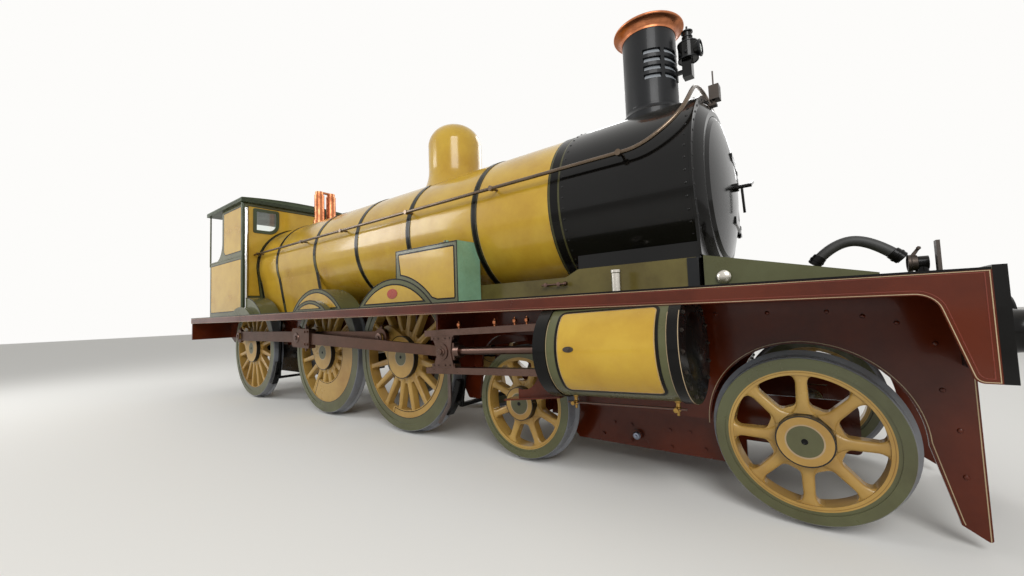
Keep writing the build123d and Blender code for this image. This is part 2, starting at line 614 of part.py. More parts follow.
def ends():
    save("buffer_beam", block(BEAM_REAR_X, BEAM_FRONT_X, -HALF_WIDTH, HALF_WIDTH, BEAM_BOTTOM, PLATFORM_TOP + 8))
    side = HALF_WIDTH - VALANCE_THICKNESS - 2
    drag = block(REAR_X, REAR_X + DRAG_BEAM_THICKNESS - GAP, -side, side, DRAG_BEAM_BOTTOM, PLATFORM_UNDER)
    for z in (LUG_BOTTOM, LUG_BOTTOM + LUG_SPREAD - LUG_THICKNESS):
        drag += block(REAR_X - LUG_REACH, REAR_X + 10, -200, 200, z, z + LUG_THICKNESS)
    drag -= bar_z(DRAW_PIN_RADIUS, LUG_BOTTOM - 20, LUG_BOTTOM + LUG_SPREAD + 20, REAR_X - DRAW_PIN_PLACE, 0)
    save("drag_beam", drag)
    buffers = []
    foot = BEAM_FRONT_X + GAP
    rim = BUFFER_HEAD / 2
    for sign in (-1, 1):
        y, z = sign * BUFFER_SPACING / 2, BUFFER_HEIGHT
        flange = cross_plate(cornered((y - rim, z - rim, 40), (y + rim, z - rim, 40), (y + rim, z + rim, 40),
                                      (y - rim, z + rim, 40)), foot, foot + 24)
        stock = turned_along(y, z, curved((foot, 0), (foot, 120), (foot + 40, 120), (foot + 110, 95, foot + 66, 104),
                                          (foot + 290, 88), (foot + 290, 0)))
        head = turned_along(y, z, outline((foot + 280, 0), (foot + 280, 52), (BUFFER_FRONT_X - 60, 52),
                                          (BUFFER_FRONT_X - 25, rim - 6), (BUFFER_FRONT_X - 12, rim),
                                          (BUFFER_FRONT_X, rim - 6), (BUFFER_FRONT_X, 0)))
        buffers.append(flange + stock + head)
    save("buffers", *buffers)
    hook_x, hook_z = BEAM_FRONT_X + 200, BUFFER_HEIGHT + 20
    hook = block(foot, foot + 20, -130, 130, BUFFER_HEIGHT - 130, BUFFER_HEIGHT + 130)
    hook += block(foot + 10, hook_x - 60, -22, 22, BUFFER_HEIGHT - 40, BUFFER_HEIGHT + 40)
    hook += bar_y(95, -22, 22, hook_x, hook_z)
    hook -= bar_y(45, -30, 30, hook_x, hook_z) + block(hook_x - 45, hook_x + 25, -30, 30, hook_z, hook_z + 200)
    save("draw_hook", hook)


def splasher(x, radius, y_in, y_out):
    """A wheel cover: a segment face and a rolled top, standing on the platform."""
    above = Pos(x, PLATFORM_TOP + GAP + radius / 2) * Rectangle(3 * radius, radius)
    whole = (Pos(x, COUPLED_RADIUS) * Circle(radius)) & above
    rim = whole - Pos(x, COUPLED_RADIUS) * Circle(radius - SHEET)
    return side_plate(rim, y_in, y_out) + side_plate(whole, y_out - math.copysign(SHEET, y_out), y_out)


def cab_slot(sign):
    """The room that the cab's side and front take through the trailing splasher."""
    outer = sign * (CAB_HALF_WIDTH + GAP)
    low, high = PLATFORM_TOP - 50, COUPLED_RADIUS + SPLASHER_RADIUS + 100
    side = block(CAB_REAR_X, CAB_FRONT_X + GAP, sign * (CAB_HALF_WIDTH - SHEET - GAP), outer, low, high)
    return side + block(CAB_FRONT_X - SHEET - GAP, CAB_FRONT_X + GAP, sign * (SPLASHER_Y + GAP), outer, low, high)


def splashers():
    covers, boxes, pipes = [], [], []
    for sign in (-1, 1):
        for name, x, *_ in COUPLED:
            cover = splasher(x, SPLASHER_RADIUS, sign * SPLASHER_INNER_Y, sign * SPLASHER_Y)
            if name != "leading":
                cover += splasher(x, SMALL_SPLASHER_RADIUS, sign * (SPLASHER_Y - 1), sign * SMALL_SPLASHER_Y)
            covers.append(cover - cab_slot(sign))
        box = block(SAND_BOX_REAR_X, SAND_BOX_FRONT_X, sign * (FRAME_Y + 15), sign * SPLASHER_Y,
                    PLATFORM_TOP + GAP, SAND_BOX_TOP)
        box -= bar_y(SPLASHER_RADIUS + GAP, -2000, 2000, LEADING_X, COUPLED_RADIUS)
        box -= bar_x(BOILER_RADIUS + BAND_HEIGHT + 4, SAND_BOX_REAR_X - 10, SAND_BOX_FRONT_X + 10, 0, BOILER_Z)
        x, y = SAND_BOX_FRONT_X - 260, sign * (SPLASHER_Y - 110)
        boxes.append(box + bar_z(70, SAND_BOX_TOP - 5, SAND_BOX_TOP + 16, x, y)
                     + bar_z(26, SAND_BOX_TOP, SAND_BOX_TOP + 40, x, y))
        y = sign * SAND_PIPE_Y
        points = [(SAND_PIPE_X - 60, y, PLATFORM_UNDER - 8), (SAND_PIPE_X, y, 1080), (SAND_PIPE_X, y, 400),
                  (SAND_PIPE_X - 255, y - sign * 95, 165)]
        pipes.append(pipe(20, points, 150))
    save("splashers", *covers)
    save("sand_boxes", *boxes)
    save("sand_pipes", *pipes)


def firebox_section(extra):
    """The firebox in Y and Z: the boiler's round top and sides that close in to the frames."""
    radius, waist = BOILER_RADIUS + extra, FIREBOX_WAIST + extra
    foot = PLATFORM_TOP - 4
    sides = outline((-radius, BOILER_Z), (-waist, foot), (waist, foot), (radius, BOILER_Z))
    return Pos(0, BOILER_Z) * Circle(radius) + sides


def boiler():
    save("boiler", bar_x(BOILER_RADIUS, FIREBOX_FRONT_X, SMOKEBOX_REAR_X - GAP, 0, BOILER_Z))
    save("firebox", cross_plate(firebox_section(0), CAB_FRONT_X - BACKPLATE_REACH, FIREBOX_FRONT_X - GAP))
    rear, front, wide = TRAILING_X + 162, FIREBOX_FRONT_X - 20, ASHPAN_HALF_WIDTH
    pan = block(rear, front, -wide, wide, ASHPAN_WAIST, PLATFORM_TOP - 10)
    hopper = outline((75 - wide, ASHPAN_BOTTOM), (wide - 75, ASHPAN_BOTTOM), (wide - 5, ASHPAN_WAIST + 5),
                     (5 - wide, ASHPAN_WAIST + 5))
    save("ashpan", pan + cross_plate(hopper, rear + 50, front - 80))
    bands = []
    dome_room = bar_z(DOME_SKIRT + 6, BOILER_Z, BOILER_Z + 900, DOME_X, 0)
    for x, width in BANDS:
        low, high = x - width / 2, x + width / 2
        if x > FIREBOX_FRONT_X:
            band = bar_x(BOILER_RADIUS + BAND_HEIGHT, low, high, 0, BOILER_Z)
            band -= bar_x(BOILER_RADIUS + GAP, low - 5, high + 5, 0, BOILER_Z)
        else:
            band = cross_plate(firebox_section(BAND_HEIGHT), low, high)
            band -= cross_plate(firebox_section(GAP), low - 5, high + 5)
            band -= block(low - 5, high + 5, -900, 900, PLATFORM_TOP - 40, PLATFORM_TOP + GAP)
        bands.append(band - dome_room)
    save("boiler_bands", *bands)


def smokebox():
    shell = bar_x(SMOKEBOX_RADIUS, SMOKEBOX_REAR_X, SMOKEBOX_FRONT_X, 0, BOILER_Z)
    shell -= bar_x(SMOKEBOX_RADIUS - SMOKEBOX_WALL, SMOKEBOX_REAR_X + 30, SMOKEBOX_FRONT_X + 5, 0, BOILER_Z)
    shell -= bar_z(CHIMNEY_BORE, BOILER_Z, BOILER_Z + 900, CHIMNEY_X, 0)
    save("smokebox", shell)
    half = FRAME_INNER_Y - GAP
    saddle = block(SMOKEBOX_REAR_X + 60, SMOKEBOX_FRONT_X, -half, half, 1391, SADDLE_TOP + 115)
    saddle -= bar_x(SMOKEBOX_RADIUS + GAP, SMOKEBOX_REAR_X, SMOKEBOX_FRONT_X + 50, 0, BOILER_Z)
    save("saddle", saddle)
    rear = FACE_X + 2
    side = outline((rear, PLATFORM_TOP + GAP), (FRONT_CASING_X, PLATFORM_TOP + GAP), (FRONT_CASING_X, FRONT_CASING_LOW),
                   (rear, CASING_FOOT - 5))
    casing = side_plate(side, -CASING_HALF_WIDTH, CASING_HALF_WIDTH)
    for sign in (-1, 1):
        casing += bar_y(48, sign * (CASING_HALF_WIDTH - 5), sign * (CASING_HALF_WIDTH + 14), FACE_X + 126, 1432)
    casing += bar_z(HOSE_RADIUS + 6, PLATFORM_TOP + 60, HOSE_FOOT_Z - 0.8 * HOSE_RADIUS, HOSE_FOOT_X, HOSE_Y)
    save("front_casing", casing)


def smokebox_front():
    """The front plate with its ring and hinge lugs, and the dished door that hangs on them."""
    hinge_x = FACE_X + RING_DEPTH + 10
    hinge_low, hinge_high = BOILER_Z - HINGE_SPREAD - 60, BOILER_Z + HINGE_SPREAD + 60
    plate = Pos(0, BOILER_Z) * Circle(SMOKEBOX_RADIUS)
    plate += outline((-SMOKEBOX_RADIUS, BOILER_Z), (-FRAME_Y, CASING_FOOT), (FRAME_Y, CASING_FOOT),
                     (SMOKEBOX_RADIUS, BOILER_Z))
    front = cross_plate(plate, SMOKEBOX_FRONT_X + GAP, FACE_X)
    hole = DOOR_RADIUS + DOOR_CLEARANCE
    front += turned_along(0, BOILER_Z, curved(
        (FACE_X - 5, hole), (FACE_X - 5, RING_RADIUS), (FACE_X, RING_RADIUS),
        (FACE_X + RING_DEPTH, hole + 40, FACE_X + 20, hole + 90), (FACE_X + RING_DEPTH, hole)))
    front -= bar_x(hole, SMOKEBOX_FRONT_X, FACE_X + 200, 0, BOILER_Z)
    front -= block(FACE_X, FACE_X + 200, -900, 900, 1000, CASING_FOOT)
    door = turned_along(0, BOILER_Z, curved(
        (FACE_X, 0), (FACE_X, DOOR_RADIUS), (FACE_X + RING_DEPTH, DOOR_RADIUS),
        (FACE_X + RING_DEPTH + 20, DOOR_RADIUS - 30),
        (FACE_X + RING_DEPTH + DOOR_DISH, 0, FACE_X + RING_DEPTH + 72, DOOR_RADIUS / 2)))
    for z in (BOILER_Z - HINGE_SPREAD, BOILER_Z + HINGE_SPREAD):
        for low in (-50, 18):
            front += block(FACE_X - 2, hinge_x + 20, DOOR_HINGE_Y - 32, DOOR_HINGE_Y + 26, z + low, z + low + 32)
        # The strap in plan: it lies on the dished door and ends in a knuckle round the pin
        plan = outline((FACE_X + 52, 0), (FACE_X + 138, 0), (FACE_X + 117, 300), (FACE_X + 88, 470),
                       (hinge_x + 16, 560), (hinge_x + 16, DOOR_HINGE_Y - 40), (hinge_x - 6, DOOR_HINGE_Y - 40),
                       (hinge_x - 6, 505), (FACE_X + 52, 500))
        door += Pos(0, 0, z - 30) * extrude(plan, 60)
        door += block(hinge_x - 6, hinge_x + 16, DOOR_HINGE_Y - 50, DOOR_HINGE_Y, z - 15, z + 15)
        door += bar_z(18, z - 15, z + 15, hinge_x, DOOR_HINGE_Y)
    front -= bar_z(HINGE_PIN, hinge_low, hinge_high, hinge_x, DOOR_HINGE_Y)
    door += bar_z(HINGE_PIN - RUNNING_CLEARANCE, hinge_low, hinge_high, hinge_x, DOOR_HINGE_Y)
    dart = FACE_X + RING_DEPTH + DOOR_DISH
    door += bar_x(34, dart - 20, dart + 30, 0, BOILER_Z) + bar_x(15, dart, dart + 120, 0, BOILER_Z)
    for reach, turn in ((50, 200), (105, 290)):
        door += Pos(0, 0, BOILER_Z) * Rot(turn, 0, 0) * block(dart + reach - 9, dart + reach + 9, -11, 11, 0, 210)
    save("smokebox_front", front)
    save("smokebox_door", door)


def chimney():
    base = BOILER_Z + SMOKEBOX_RADIUS
    skirt = CHIMNEY_RADIUS + 26
    stack = turned_up(CHIMNEY_X, curved(
        (CHIMNEY_BORE, base - 60), (skirt, base - 60), (skirt, base + 8),
        (CHIMNEY_RADIUS, base + 70, CHIMNEY_RADIUS + 6, base + 30), (CHIMNEY_RADIUS, CAP_BOTTOM),
        (CHIMNEY_BORE, CAP_BOTTOM)))
    stack -= bar_x(SMOKEBOX_RADIUS + GAP, SMOKEBOX_REAR_X, SMOKEBOX_FRONT_X, 0, BOILER_Z)
    wedge = outline((0, 0), (400, -134), (400, 134))
    slot = extrude((Circle(CHIMNEY_RADIUS + 20) - Circle(CHIMNEY_RADIUS - LOUVRE_DEPTH)) & wedge, LOUVRE_HEIGHT)
    for row in range(4):
        foot = LOUVRE_BOTTOM + row * LOUVRE_PITCH
        if foot + LOUVRE_HEIGHT > CAP_BOTTOM - LOUVRE_DEPTH:
            break
        for turn in (-67.5, -22.5, 22.5, 67.5):
            stack -= Pos(CHIMNEY_X, 0, foot) * Rot(0, 0, turn) * slot
    save("chimney", stack)
    lip = CHIMNEY_TOP - 24
    save("chimney_cap", turned_up(CHIMNEY_X, curved(
        (CHIMNEY_BORE, CAP_BOTTOM + GAP), (CHIMNEY_RADIUS + 4, CAP_BOTTOM + GAP), (CHIMNEY_RADIUS + 6, CAP_BOTTOM + 16),
        (CAP_RADIUS - 8, lip - 12, CHIMNEY_RADIUS + 24, lip - 36), (CAP_RADIUS - 8, lip + 12, CAP_RADIUS, lip),
        (CAP_RADIUS - 50, CHIMNEY_TOP), (CHIMNEY_BORE + 12, CHIMNEY_TOP - 22), (CHIMNEY_BORE, CHIMNEY_TOP - 34))))


def mountings():
    base = BOILER_Z + BOILER_RADIUS
    dome = turned_up(DOME_X, curved(
        (0, base - 200), (DOME_SKIRT, base - 200), (DOME_SKIRT, base - 155),
        (DOME_RADIUS, base + 150, DOME_RADIUS + 22, base - 5), (DOME_RADIUS, DOME_TOP - 250),
        (0, DOME_TOP, DOME_RADIUS * 0.76, DOME_TOP - 78)))
    dome += bar_z(14, DOME_TOP - 10, DOME_TOP + 22, DOME_X, 0)
    save("dome", dome - bar_x(BOILER_RADIUS + GAP, DOME_X - 900, DOME_X + 900, 0, BOILER_Z))
    valves = block(VALVE_X - 20, VALVE_X + 20, -VALVE_Y, VALVE_Y, VALVE_TOP - 20, VALVE_TOP + 10)
    for y in (-VALVE_Y, VALVE_Y):
        valves += bar_z(VALVE_RADIUS + 20, base - 60, base + 40, VALVE_X, y)
        valves += bar_z(VALVE_RADIUS, base, VALVE_TOP - 60, VALVE_X, y)
        valves += bar_z(VALVE_RADIUS - 14, VALVE_TOP - 65, VALVE_TOP, VALVE_X, y)
    save("safety_valves", valves - bar_x(BOILER_RADIUS + GAP, VALVE_X - 500, VALVE_X + 500, 0, BOILER_Z))
    lamp = bar_z(80, LAMP_Z - 70, LAMP_Z + 70, LAMP_X, 0) + bar_z(38, LAMP_Z + 65, LAMP_Z + 180, LAMP_X, 0)
    lamp += bar_x(62, LAMP_X + 20, LAMP_X + 90, 0, LAMP_Z) + bar_z(8, LAMP_Z + 175, LAMP_Z + 230, LAMP_X, 0)
    lamp += block(LAMP_X - 46, LAMP_X + 30, -42, 42, LAMP_Z - 226, LAMP_Z - 65)
    arm_x = CHIMNEY_X + CHIMNEY_RADIUS + GAP
    lamp += block(arm_x, LAMP_X - 40, -14, 14, LAMP_Z - 170, LAMP_Z - 140)
    save("head_lamp", lamp + block(arm_x, arm_x + 8, -14, 14, LAMP_Z - 230, LAMP_Z - 110))


def rail_bend():
    """The handrail from one side of the smokebox round its front to the other side."""
    reach = math.hypot(RAIL_Y, RAIL_Z - BOILER_Z)
    bend = [(RAIL_BEND_X, RAIL_Y, RAIL_Z)]
    for back, rise in RAIL_BEND:
        turn = math.radians(rise)
        bend.append((SMOKEBOX_FRONT_X - back, reach * math.cos(turn), BOILER_Z + reach * math.sin(turn)))
    points = [(x, -y, z) for x, y, z in bend] + [(SMOKEBOX_FRONT_X - 15, 0, BOILER_Z + reach)] + bend[::-1]
    path = Spline(*points, tangents=((1, 0, 0), (-1, 0, 0)))
    return sweep(Plane(origin=points[0], z_dir=(1, 0, 0)) * Circle(RAIL_RADIUS), path=path)


def small_fittings():
    rails = [rail_bend()]
    for sign in (-1, 1):
        rail = bar_x(RAIL_RADIUS, CAB_FRONT_X + 20, RAIL_BEND_X, sign * RAIL_Y, RAIL_Z)
        # Stanchions: X of each, and the radius of the shell that it stands on
        for x, radius in ((CAB_FRONT_X + 162, BOILER_RADIUS), (-690, BOILER_RADIUS), (400, BOILER_RADIUS),
                          (1755, BOILER_RADIUS), (3000, BOILER_RADIUS), (RAIL_BEND_X - 30, SMOKEBOX_RADIUS)):
            shell_y = math.sqrt((radius + GAP)**2 - (RAIL_Z - 12 - BOILER_Z)**2)
            rail += bar_y(12, sign * shell_y, sign * RAIL_Y, x, RAIL_Z)
            rail += bar_y(RAIL_RADIUS + 8, sign * (RAIL_Y - 20), sign * (RAIL_Y + 20), x, RAIL_Z)
        rails.append(rail)
    save("handrails", *rails)
    irons = [block(BEAM_REAR_X - 30, BEAM_REAR_X - 14, y - 30, y + 30, PLATFORM_TOP + GAP, 1555) for y in (-460, 460)]
    x = FACE_X + 35
    foot = BOILER_Z + SMOKEBOX_RADIUS - 42
    socket = block(FACE_X + GAP, x + 20, -30, 30, foot, foot + 18)
    socket += block(x - 10, x + 10, -20, 20, foot + 10, foot + 50)
    socket += block(x - 30, x + 46, -45, 45, foot + 45, foot + 165) + bar_z(6, foot + 160, foot + 300, x, 0)
    save("lamp_irons", *irons, socket)
    x, z = BEAM_REAR_X - STANDPIPE_PLACE, PLATFORM_TOP + STANDPIPE_HEIGHT
    save("standpipe", bar_z(30, PLATFORM_TOP + GAP, z, x, HOSE_Y) + bar_x(HOSE_RADIUS + 6, x - 50, x + 30, HOSE_Y, z))
    end = x - 50 - GAP
    route = [(HOSE_FOOT_X, HOSE_Y, HOSE_FOOT_Z), (HOSE_FOOT_X + 98, HOSE_Y, HOSE_CREST - 16),
             (HOSE_FOOT_X + 288, HOSE_Y, HOSE_CREST), (end - 26, HOSE_Y, z + 30)]
    save("vacuum_hose", pipe(HOSE_RADIUS, route, 150))


def cab():
    half = CAB_HALF_WIDTH
    foot = PLATFORM_TOP + GAP
    splasher_top = COUPLED_RADIUS + SPLASHER_RADIUS + 1
    section = outline((-half, foot), (half, foot), (half, CAB_EAVES), (-half, CAB_EAVES)) - firebox_section(GAP)
    for sign in (-1, 1):
        section -= cornered((sign * 420, 3200, 20), (sign * 790, 3200, 20), (sign * 790, 2820, 20), (sign * 420, 2820, 160))
        section -= outline((sign * 560, 1300), (sign * (SPLASHER_Y + 1), 1300), (sign * (SPLASHER_Y + 1), splasher_top),
                           (sign * 560, splasher_top))
    save("cab_front", cross_plate(section, CAB_FRONT_X - SHEET, CAB_FRONT_X))
    front = CAB_FRONT_X - SHEET - GAP
    side = cornered((front, foot, 0), (front, CAB_EAVES, 0), (CUT_OUT_X, CAB_EAVES, 0), (CUT_OUT_X, CAB_WAIST, 340),
                    (CAB_REAR_X, CAB_WAIST, 40), (CAB_REAR_X, foot, 0))
    save("cab_sides", *[side_plate(side, sign * (half - SHEET), sign * half)
                        + bar_z(14, CAB_WAIST - 60, CAB_EAVES, CAB_REAR_X + 4, sign * (half - SHEET / 2))
                        for sign in (-1, 1)])
    edge, under = half + ROOF_OVERHANG, CAB_EAVES + GAP
    roof = curved((-edge, under), (edge, under), (edge, under + ROOF_THICKNESS),
                  (-edge, under + ROOF_THICKNESS, 0, under + ROOF_THICKNESS + ROOF_RISE))
    save("cab_roof", cross_plate(roof, CAB_REAR_X - 30, CAB_FRONT_X + 70))
    back = CAB_FRONT_X - BACKPLATE_REACH - GAP
    inner = half - SHEET - GAP
    floor = block(REAR_X + 60, back, -inner, inner, foot, foot + 30)
    for sign in (-1, 1):
        floor -= block(TRAILING_X - wheel_opening() - 10, CAB_FRONT_X, sign * (SPLASHER_INNER_Y - 5), sign * 1100,
                       1300, 1500)
    save("cab_floor", floor)
    regulator = block(back - 110, back, -34, 34, 2560, 2640) + block(back - 130, back - 105, -22, 22, 2250, 2640)
    save("backhead_fittings", bar_x(230, back - 40, back, 0, 1900), regulator)


def bogie():
    pieces = []
    axle_z = BOGIE_RADIUS
    half = BOGIE_BOX_WIDTH / 2
    rear, front = BOGIE_REAR_X - half - 150, BOGIE_FRONT_X + half + 150
    face = cornered((rear, 330, 30), (BOGIE_REAR_X + 430, 330, 60), (BOGIE_REAR_X + 560, 160, 60),
                    (BOGIE_FRONT_X - 560, 160, 60), (BOGIE_FRONT_X - 430, 330, 60), (front, 330, 30),
                    (front, 640, 60), (rear, 640, 60))
    for x in (BOGIE_REAR_X, BOGIE_FRONT_X):
        face -= outline((x - half, 300), (x + half, 300), (x + half, axle_z + 110), (x - half, axle_z + 110))
    inner = BOGIE_FRAME_Y - BOGIE_FRAME_THICKNESS
    for sign in (-1, 1):
        plate = side_plate(face, sign * inner, sign * BOGIE_FRAME_Y)
        pieces.append(plate + bar_y(38, sign * (BOGIE_FRAME_Y - 5), sign * (BOGIE_FRAME_Y + 36), BOGIE_PIVOT_X - 95, 256))
        for x in (BOGIE_REAR_X, BOGIE_FRONT_X):
            box = block(x - half + GAP, x + half - GAP, sign * 440, sign * 560, axle_z - 105, axle_z + 105)
            pieces.append(box - bar_y(BOGIE_AXLE / 2 + RUNNING_CLEARANCE, -600, 600, x, axle_z))
    cross = block(BOGIE_PIVOT_X - 250, BOGIE_PIVOT_X + 250, -inner + GAP, inner - GAP, 300, 500)
    pieces.append(cross + bar_z(PIVOT_RADIUS, 490, 790, BOGIE_PIVOT_X, 0))
    save("bogie_frame", *pieces)


os.makedirs("parts", exist_ok=True)
frames()
platform()
ends()
splashers()
boiler()
smokebox()
smokebox_front()
chimney()
mountings()
small_fittings()
cab()
cylinders()
slide_bars()
bogie()
for coupled in COUPLED:
    coupled_wheels(*coupled)
for bogie_set in BOGIE_SETS:
    bogie_wheels(*bogie_set)
for one_side in SIDES:
    coupling_rod(*one_side)
    connecting_rod(*one_side)
    crosshead(*one_side)
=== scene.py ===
"""Looks of a museum steam locomotive with outside cylinders, a leading bogie and six coupled wheels.

Sizes in the sections are drawing millimetres: X forward from the main axle, Y to the left and Z up
from the rail top, as the engine is measured. at() moves a point to the frame's own metres.
"""
import math
import bmesh
import bpy
from mathutils import Matrix, Vector


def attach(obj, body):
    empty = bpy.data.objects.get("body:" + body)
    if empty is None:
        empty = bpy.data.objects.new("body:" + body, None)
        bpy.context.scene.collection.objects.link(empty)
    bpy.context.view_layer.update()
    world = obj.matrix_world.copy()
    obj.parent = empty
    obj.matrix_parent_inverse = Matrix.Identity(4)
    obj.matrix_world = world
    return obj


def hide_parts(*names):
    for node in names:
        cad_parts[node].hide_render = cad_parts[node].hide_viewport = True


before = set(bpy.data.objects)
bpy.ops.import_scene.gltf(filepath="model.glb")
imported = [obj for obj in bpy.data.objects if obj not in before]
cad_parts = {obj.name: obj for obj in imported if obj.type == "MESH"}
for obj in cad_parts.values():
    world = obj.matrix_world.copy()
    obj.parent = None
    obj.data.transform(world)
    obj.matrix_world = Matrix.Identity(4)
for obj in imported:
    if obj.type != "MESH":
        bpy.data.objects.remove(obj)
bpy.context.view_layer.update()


# Camera: it stands beside the leading wheels at chest height. Its very wide lens is turned back
# towards the cab, looks up a little and leans a little.
def at(x, y, z):
    """A point of the drawing in the frame's metres."""
    return Vector((x / 1000 - 1.0995, y / 1000, z / 1000 + 0.028))


turned, raised, leaning = 0.6538, 0.0606, -0.0363
focal_pixels, picture_width, sensor = 408.4, 1024, 36
level = Vector((math.cos(turned), math.sin(turned), 0))
ahead = Vector((-math.sin(turned) * math.cos(raised), math.cos(turned) * math.cos(raised), math.sin(raised)))
above = level.cross(ahead)
right = math.cos(leaning) * level + math.sin(leaning) * above
above = -math.sin(leaning) * level + math.cos(leaning) * above
camera = bpy.data.objects.new("camera", bpy.data.cameras.new("camera"))
camera.data.lens = focal_pixels / picture_width * sensor
camera.data.clip_end = 200
facing = Matrix((right, above, -ahead)).transposed().to_4x4()
camera.matrix_world = Matrix.Translation(at(5402.9, -3670.4, 1240.2)) @ facing
bpy.context.collection.objects.link(camera)
bpy.context.scene.camera = camera


# A plain pale studio: a matt floor that meets the sky without a wall, an even grey light from all
# round and broad soft lamps, the strongest of them behind the camera.
def linear(code):
    """A six-digit sRGB colour as the linear colour that a shader takes."""
    parts = [int(code[i:i + 2], 16) / 255 for i in (0, 2, 4)]
    return tuple(c / 12.92 if c <= 0.04045 else ((c + 0.055) / 1.055) ** 2.4 for c in parts) + (1,)


def add_node(tree, kind, inputs=None, **settings):
    """Adds one node with its settings; an input is given a value or another node's output."""
    node = tree.nodes.new(kind)
    for key, value in settings.items():
        setattr(node, key, value)
    for key, value in (inputs or {}).items():
        if isinstance(value, bpy.types.NodeSocket):
            tree.links.new(value, node.inputs[key])
        else:
            node.inputs[key].default_value = value
    return node


def new_finish(name, **sockets):
    """A new material with its node tree and its shader; sockets are the shader's plain numbers."""
    material = bpy.data.materials.new(name)
    material.use_nodes = True
    skin = material.node_tree.nodes["Principled BSDF"]
    for key, value in sockets.items():
        skin.inputs[key.replace("_", " ")].default_value = value
    return material, material.node_tree, skin


def calc(tree, operation, first, second):
    """One step of arithmetic with numbers or outputs."""
    return add_node(tree, "ShaderNodeMath", {0: first, 1: second}, operation=operation).outputs[0]


def remap(tree, number, low, high, first, last):
    """Goes from first to last while the number goes from low to high."""
    return add_node(tree, "ShaderNodeMapRange", {0: number, 1: low, 2: high, 3: first, 4: last}).outputs[0]


def noise(tree, place, scale, detail, **more):
    """Soft random clouds, marks or weave, as a number from 0 to 1."""
    sockets = {"Vector": place, "Scale": scale, "Detail": detail, **more}
    return add_node(tree, "ShaderNodeTexNoise", sockets).outputs[0]


def mixed(tree, amount, under, over, mode="MIX"):
    """One colour laid over another by an amount."""
    sockets = {0: amount, 6: under, 7: over}
    return add_node(tree, "ShaderNodeMix", sockets, data_type="RGBA", blend_type=mode).outputs[2]


def dress(tree, skin, paint, relief, strength, metres, rough=None):
    """Joins the shader to its colour, to a shaded relief of so many metres, and to its roughness."""
    tree.links.new(paint, skin.inputs["Base Color"])
    if rough:
        tree.links.new(rough, skin.inputs["Roughness"])
    bump = add_node(tree, "ShaderNodeBump", {"Strength": strength, "Distance": metres, "Height": relief})
    tree.links.new(bump.outputs[0], skin.inputs["Normal"])


reach, top = 60, -0.001
floor_mesh = bpy.data.meshes.new("studio_floor")
corners = [(-reach, -reach, top), (reach, -reach, top), (reach, reach, top), (-reach, reach, top)]
floor_mesh.from_pydata(corners, [], [(0, 1, 2, 3)])
floor = bpy.data.objects.new("studio_floor", floor_mesh)
bpy.context.collection.objects.link(floor)
floor_mesh.materials.append(new_finish("matt_studio_floor", Base_Color=linear("E9E8E4"), Roughness=0.85)[0])

# What the camera, glass and gloss see of the sky is white, and what lights the engine is half that
sky = bpy.data.worlds.new("studio_sky")
sky.use_nodes = True
bpy.context.scene.world = sky
tree = sky.node_tree
ray = add_node(tree, "ShaderNodeLightPath").outputs
seen = calc(tree, "MAXIMUM", ray["Is Camera Ray"], ray["Is Transmission Ray"])
seen = calc(tree, "MAXIMUM", seen, ray["Is Glossy Ray"])
tree.links.new(remap(tree, seen, 0, 1, 0.5, 1.0), tree.nodes["Background"].inputs["Strength"])
tree.nodes["Background"].inputs["Color"].default_value = linear("FDFCFA")
bpy.context.scene.view_settings.view_transform = "Standard"

for name, place, aim, size, power in (("shoulder_lamp", (8500, -7500, 6800), (1200, 0, 1600), 5.0, 620),
                                      ("tail_lamp", (-6500, -6500, 5200), (-1500, 0, 1800), 4.0, 300),
                                      ("far_lamp", (2000, 8500, 7000), (1000, 0, 1800), 5.0, 300)):
    lamp = bpy.data.lights.new(name, "AREA")
    lamp.size = size
    lamp.energy = power
    stand = bpy.data.objects.new(name, lamp)
    stand.location = at(*place)
    stand.rotation_euler = (at(*aim) - at(*place)).to_track_quat("-Z", "Y").to_euler()
    bpy.context.collection.objects.link(stand)


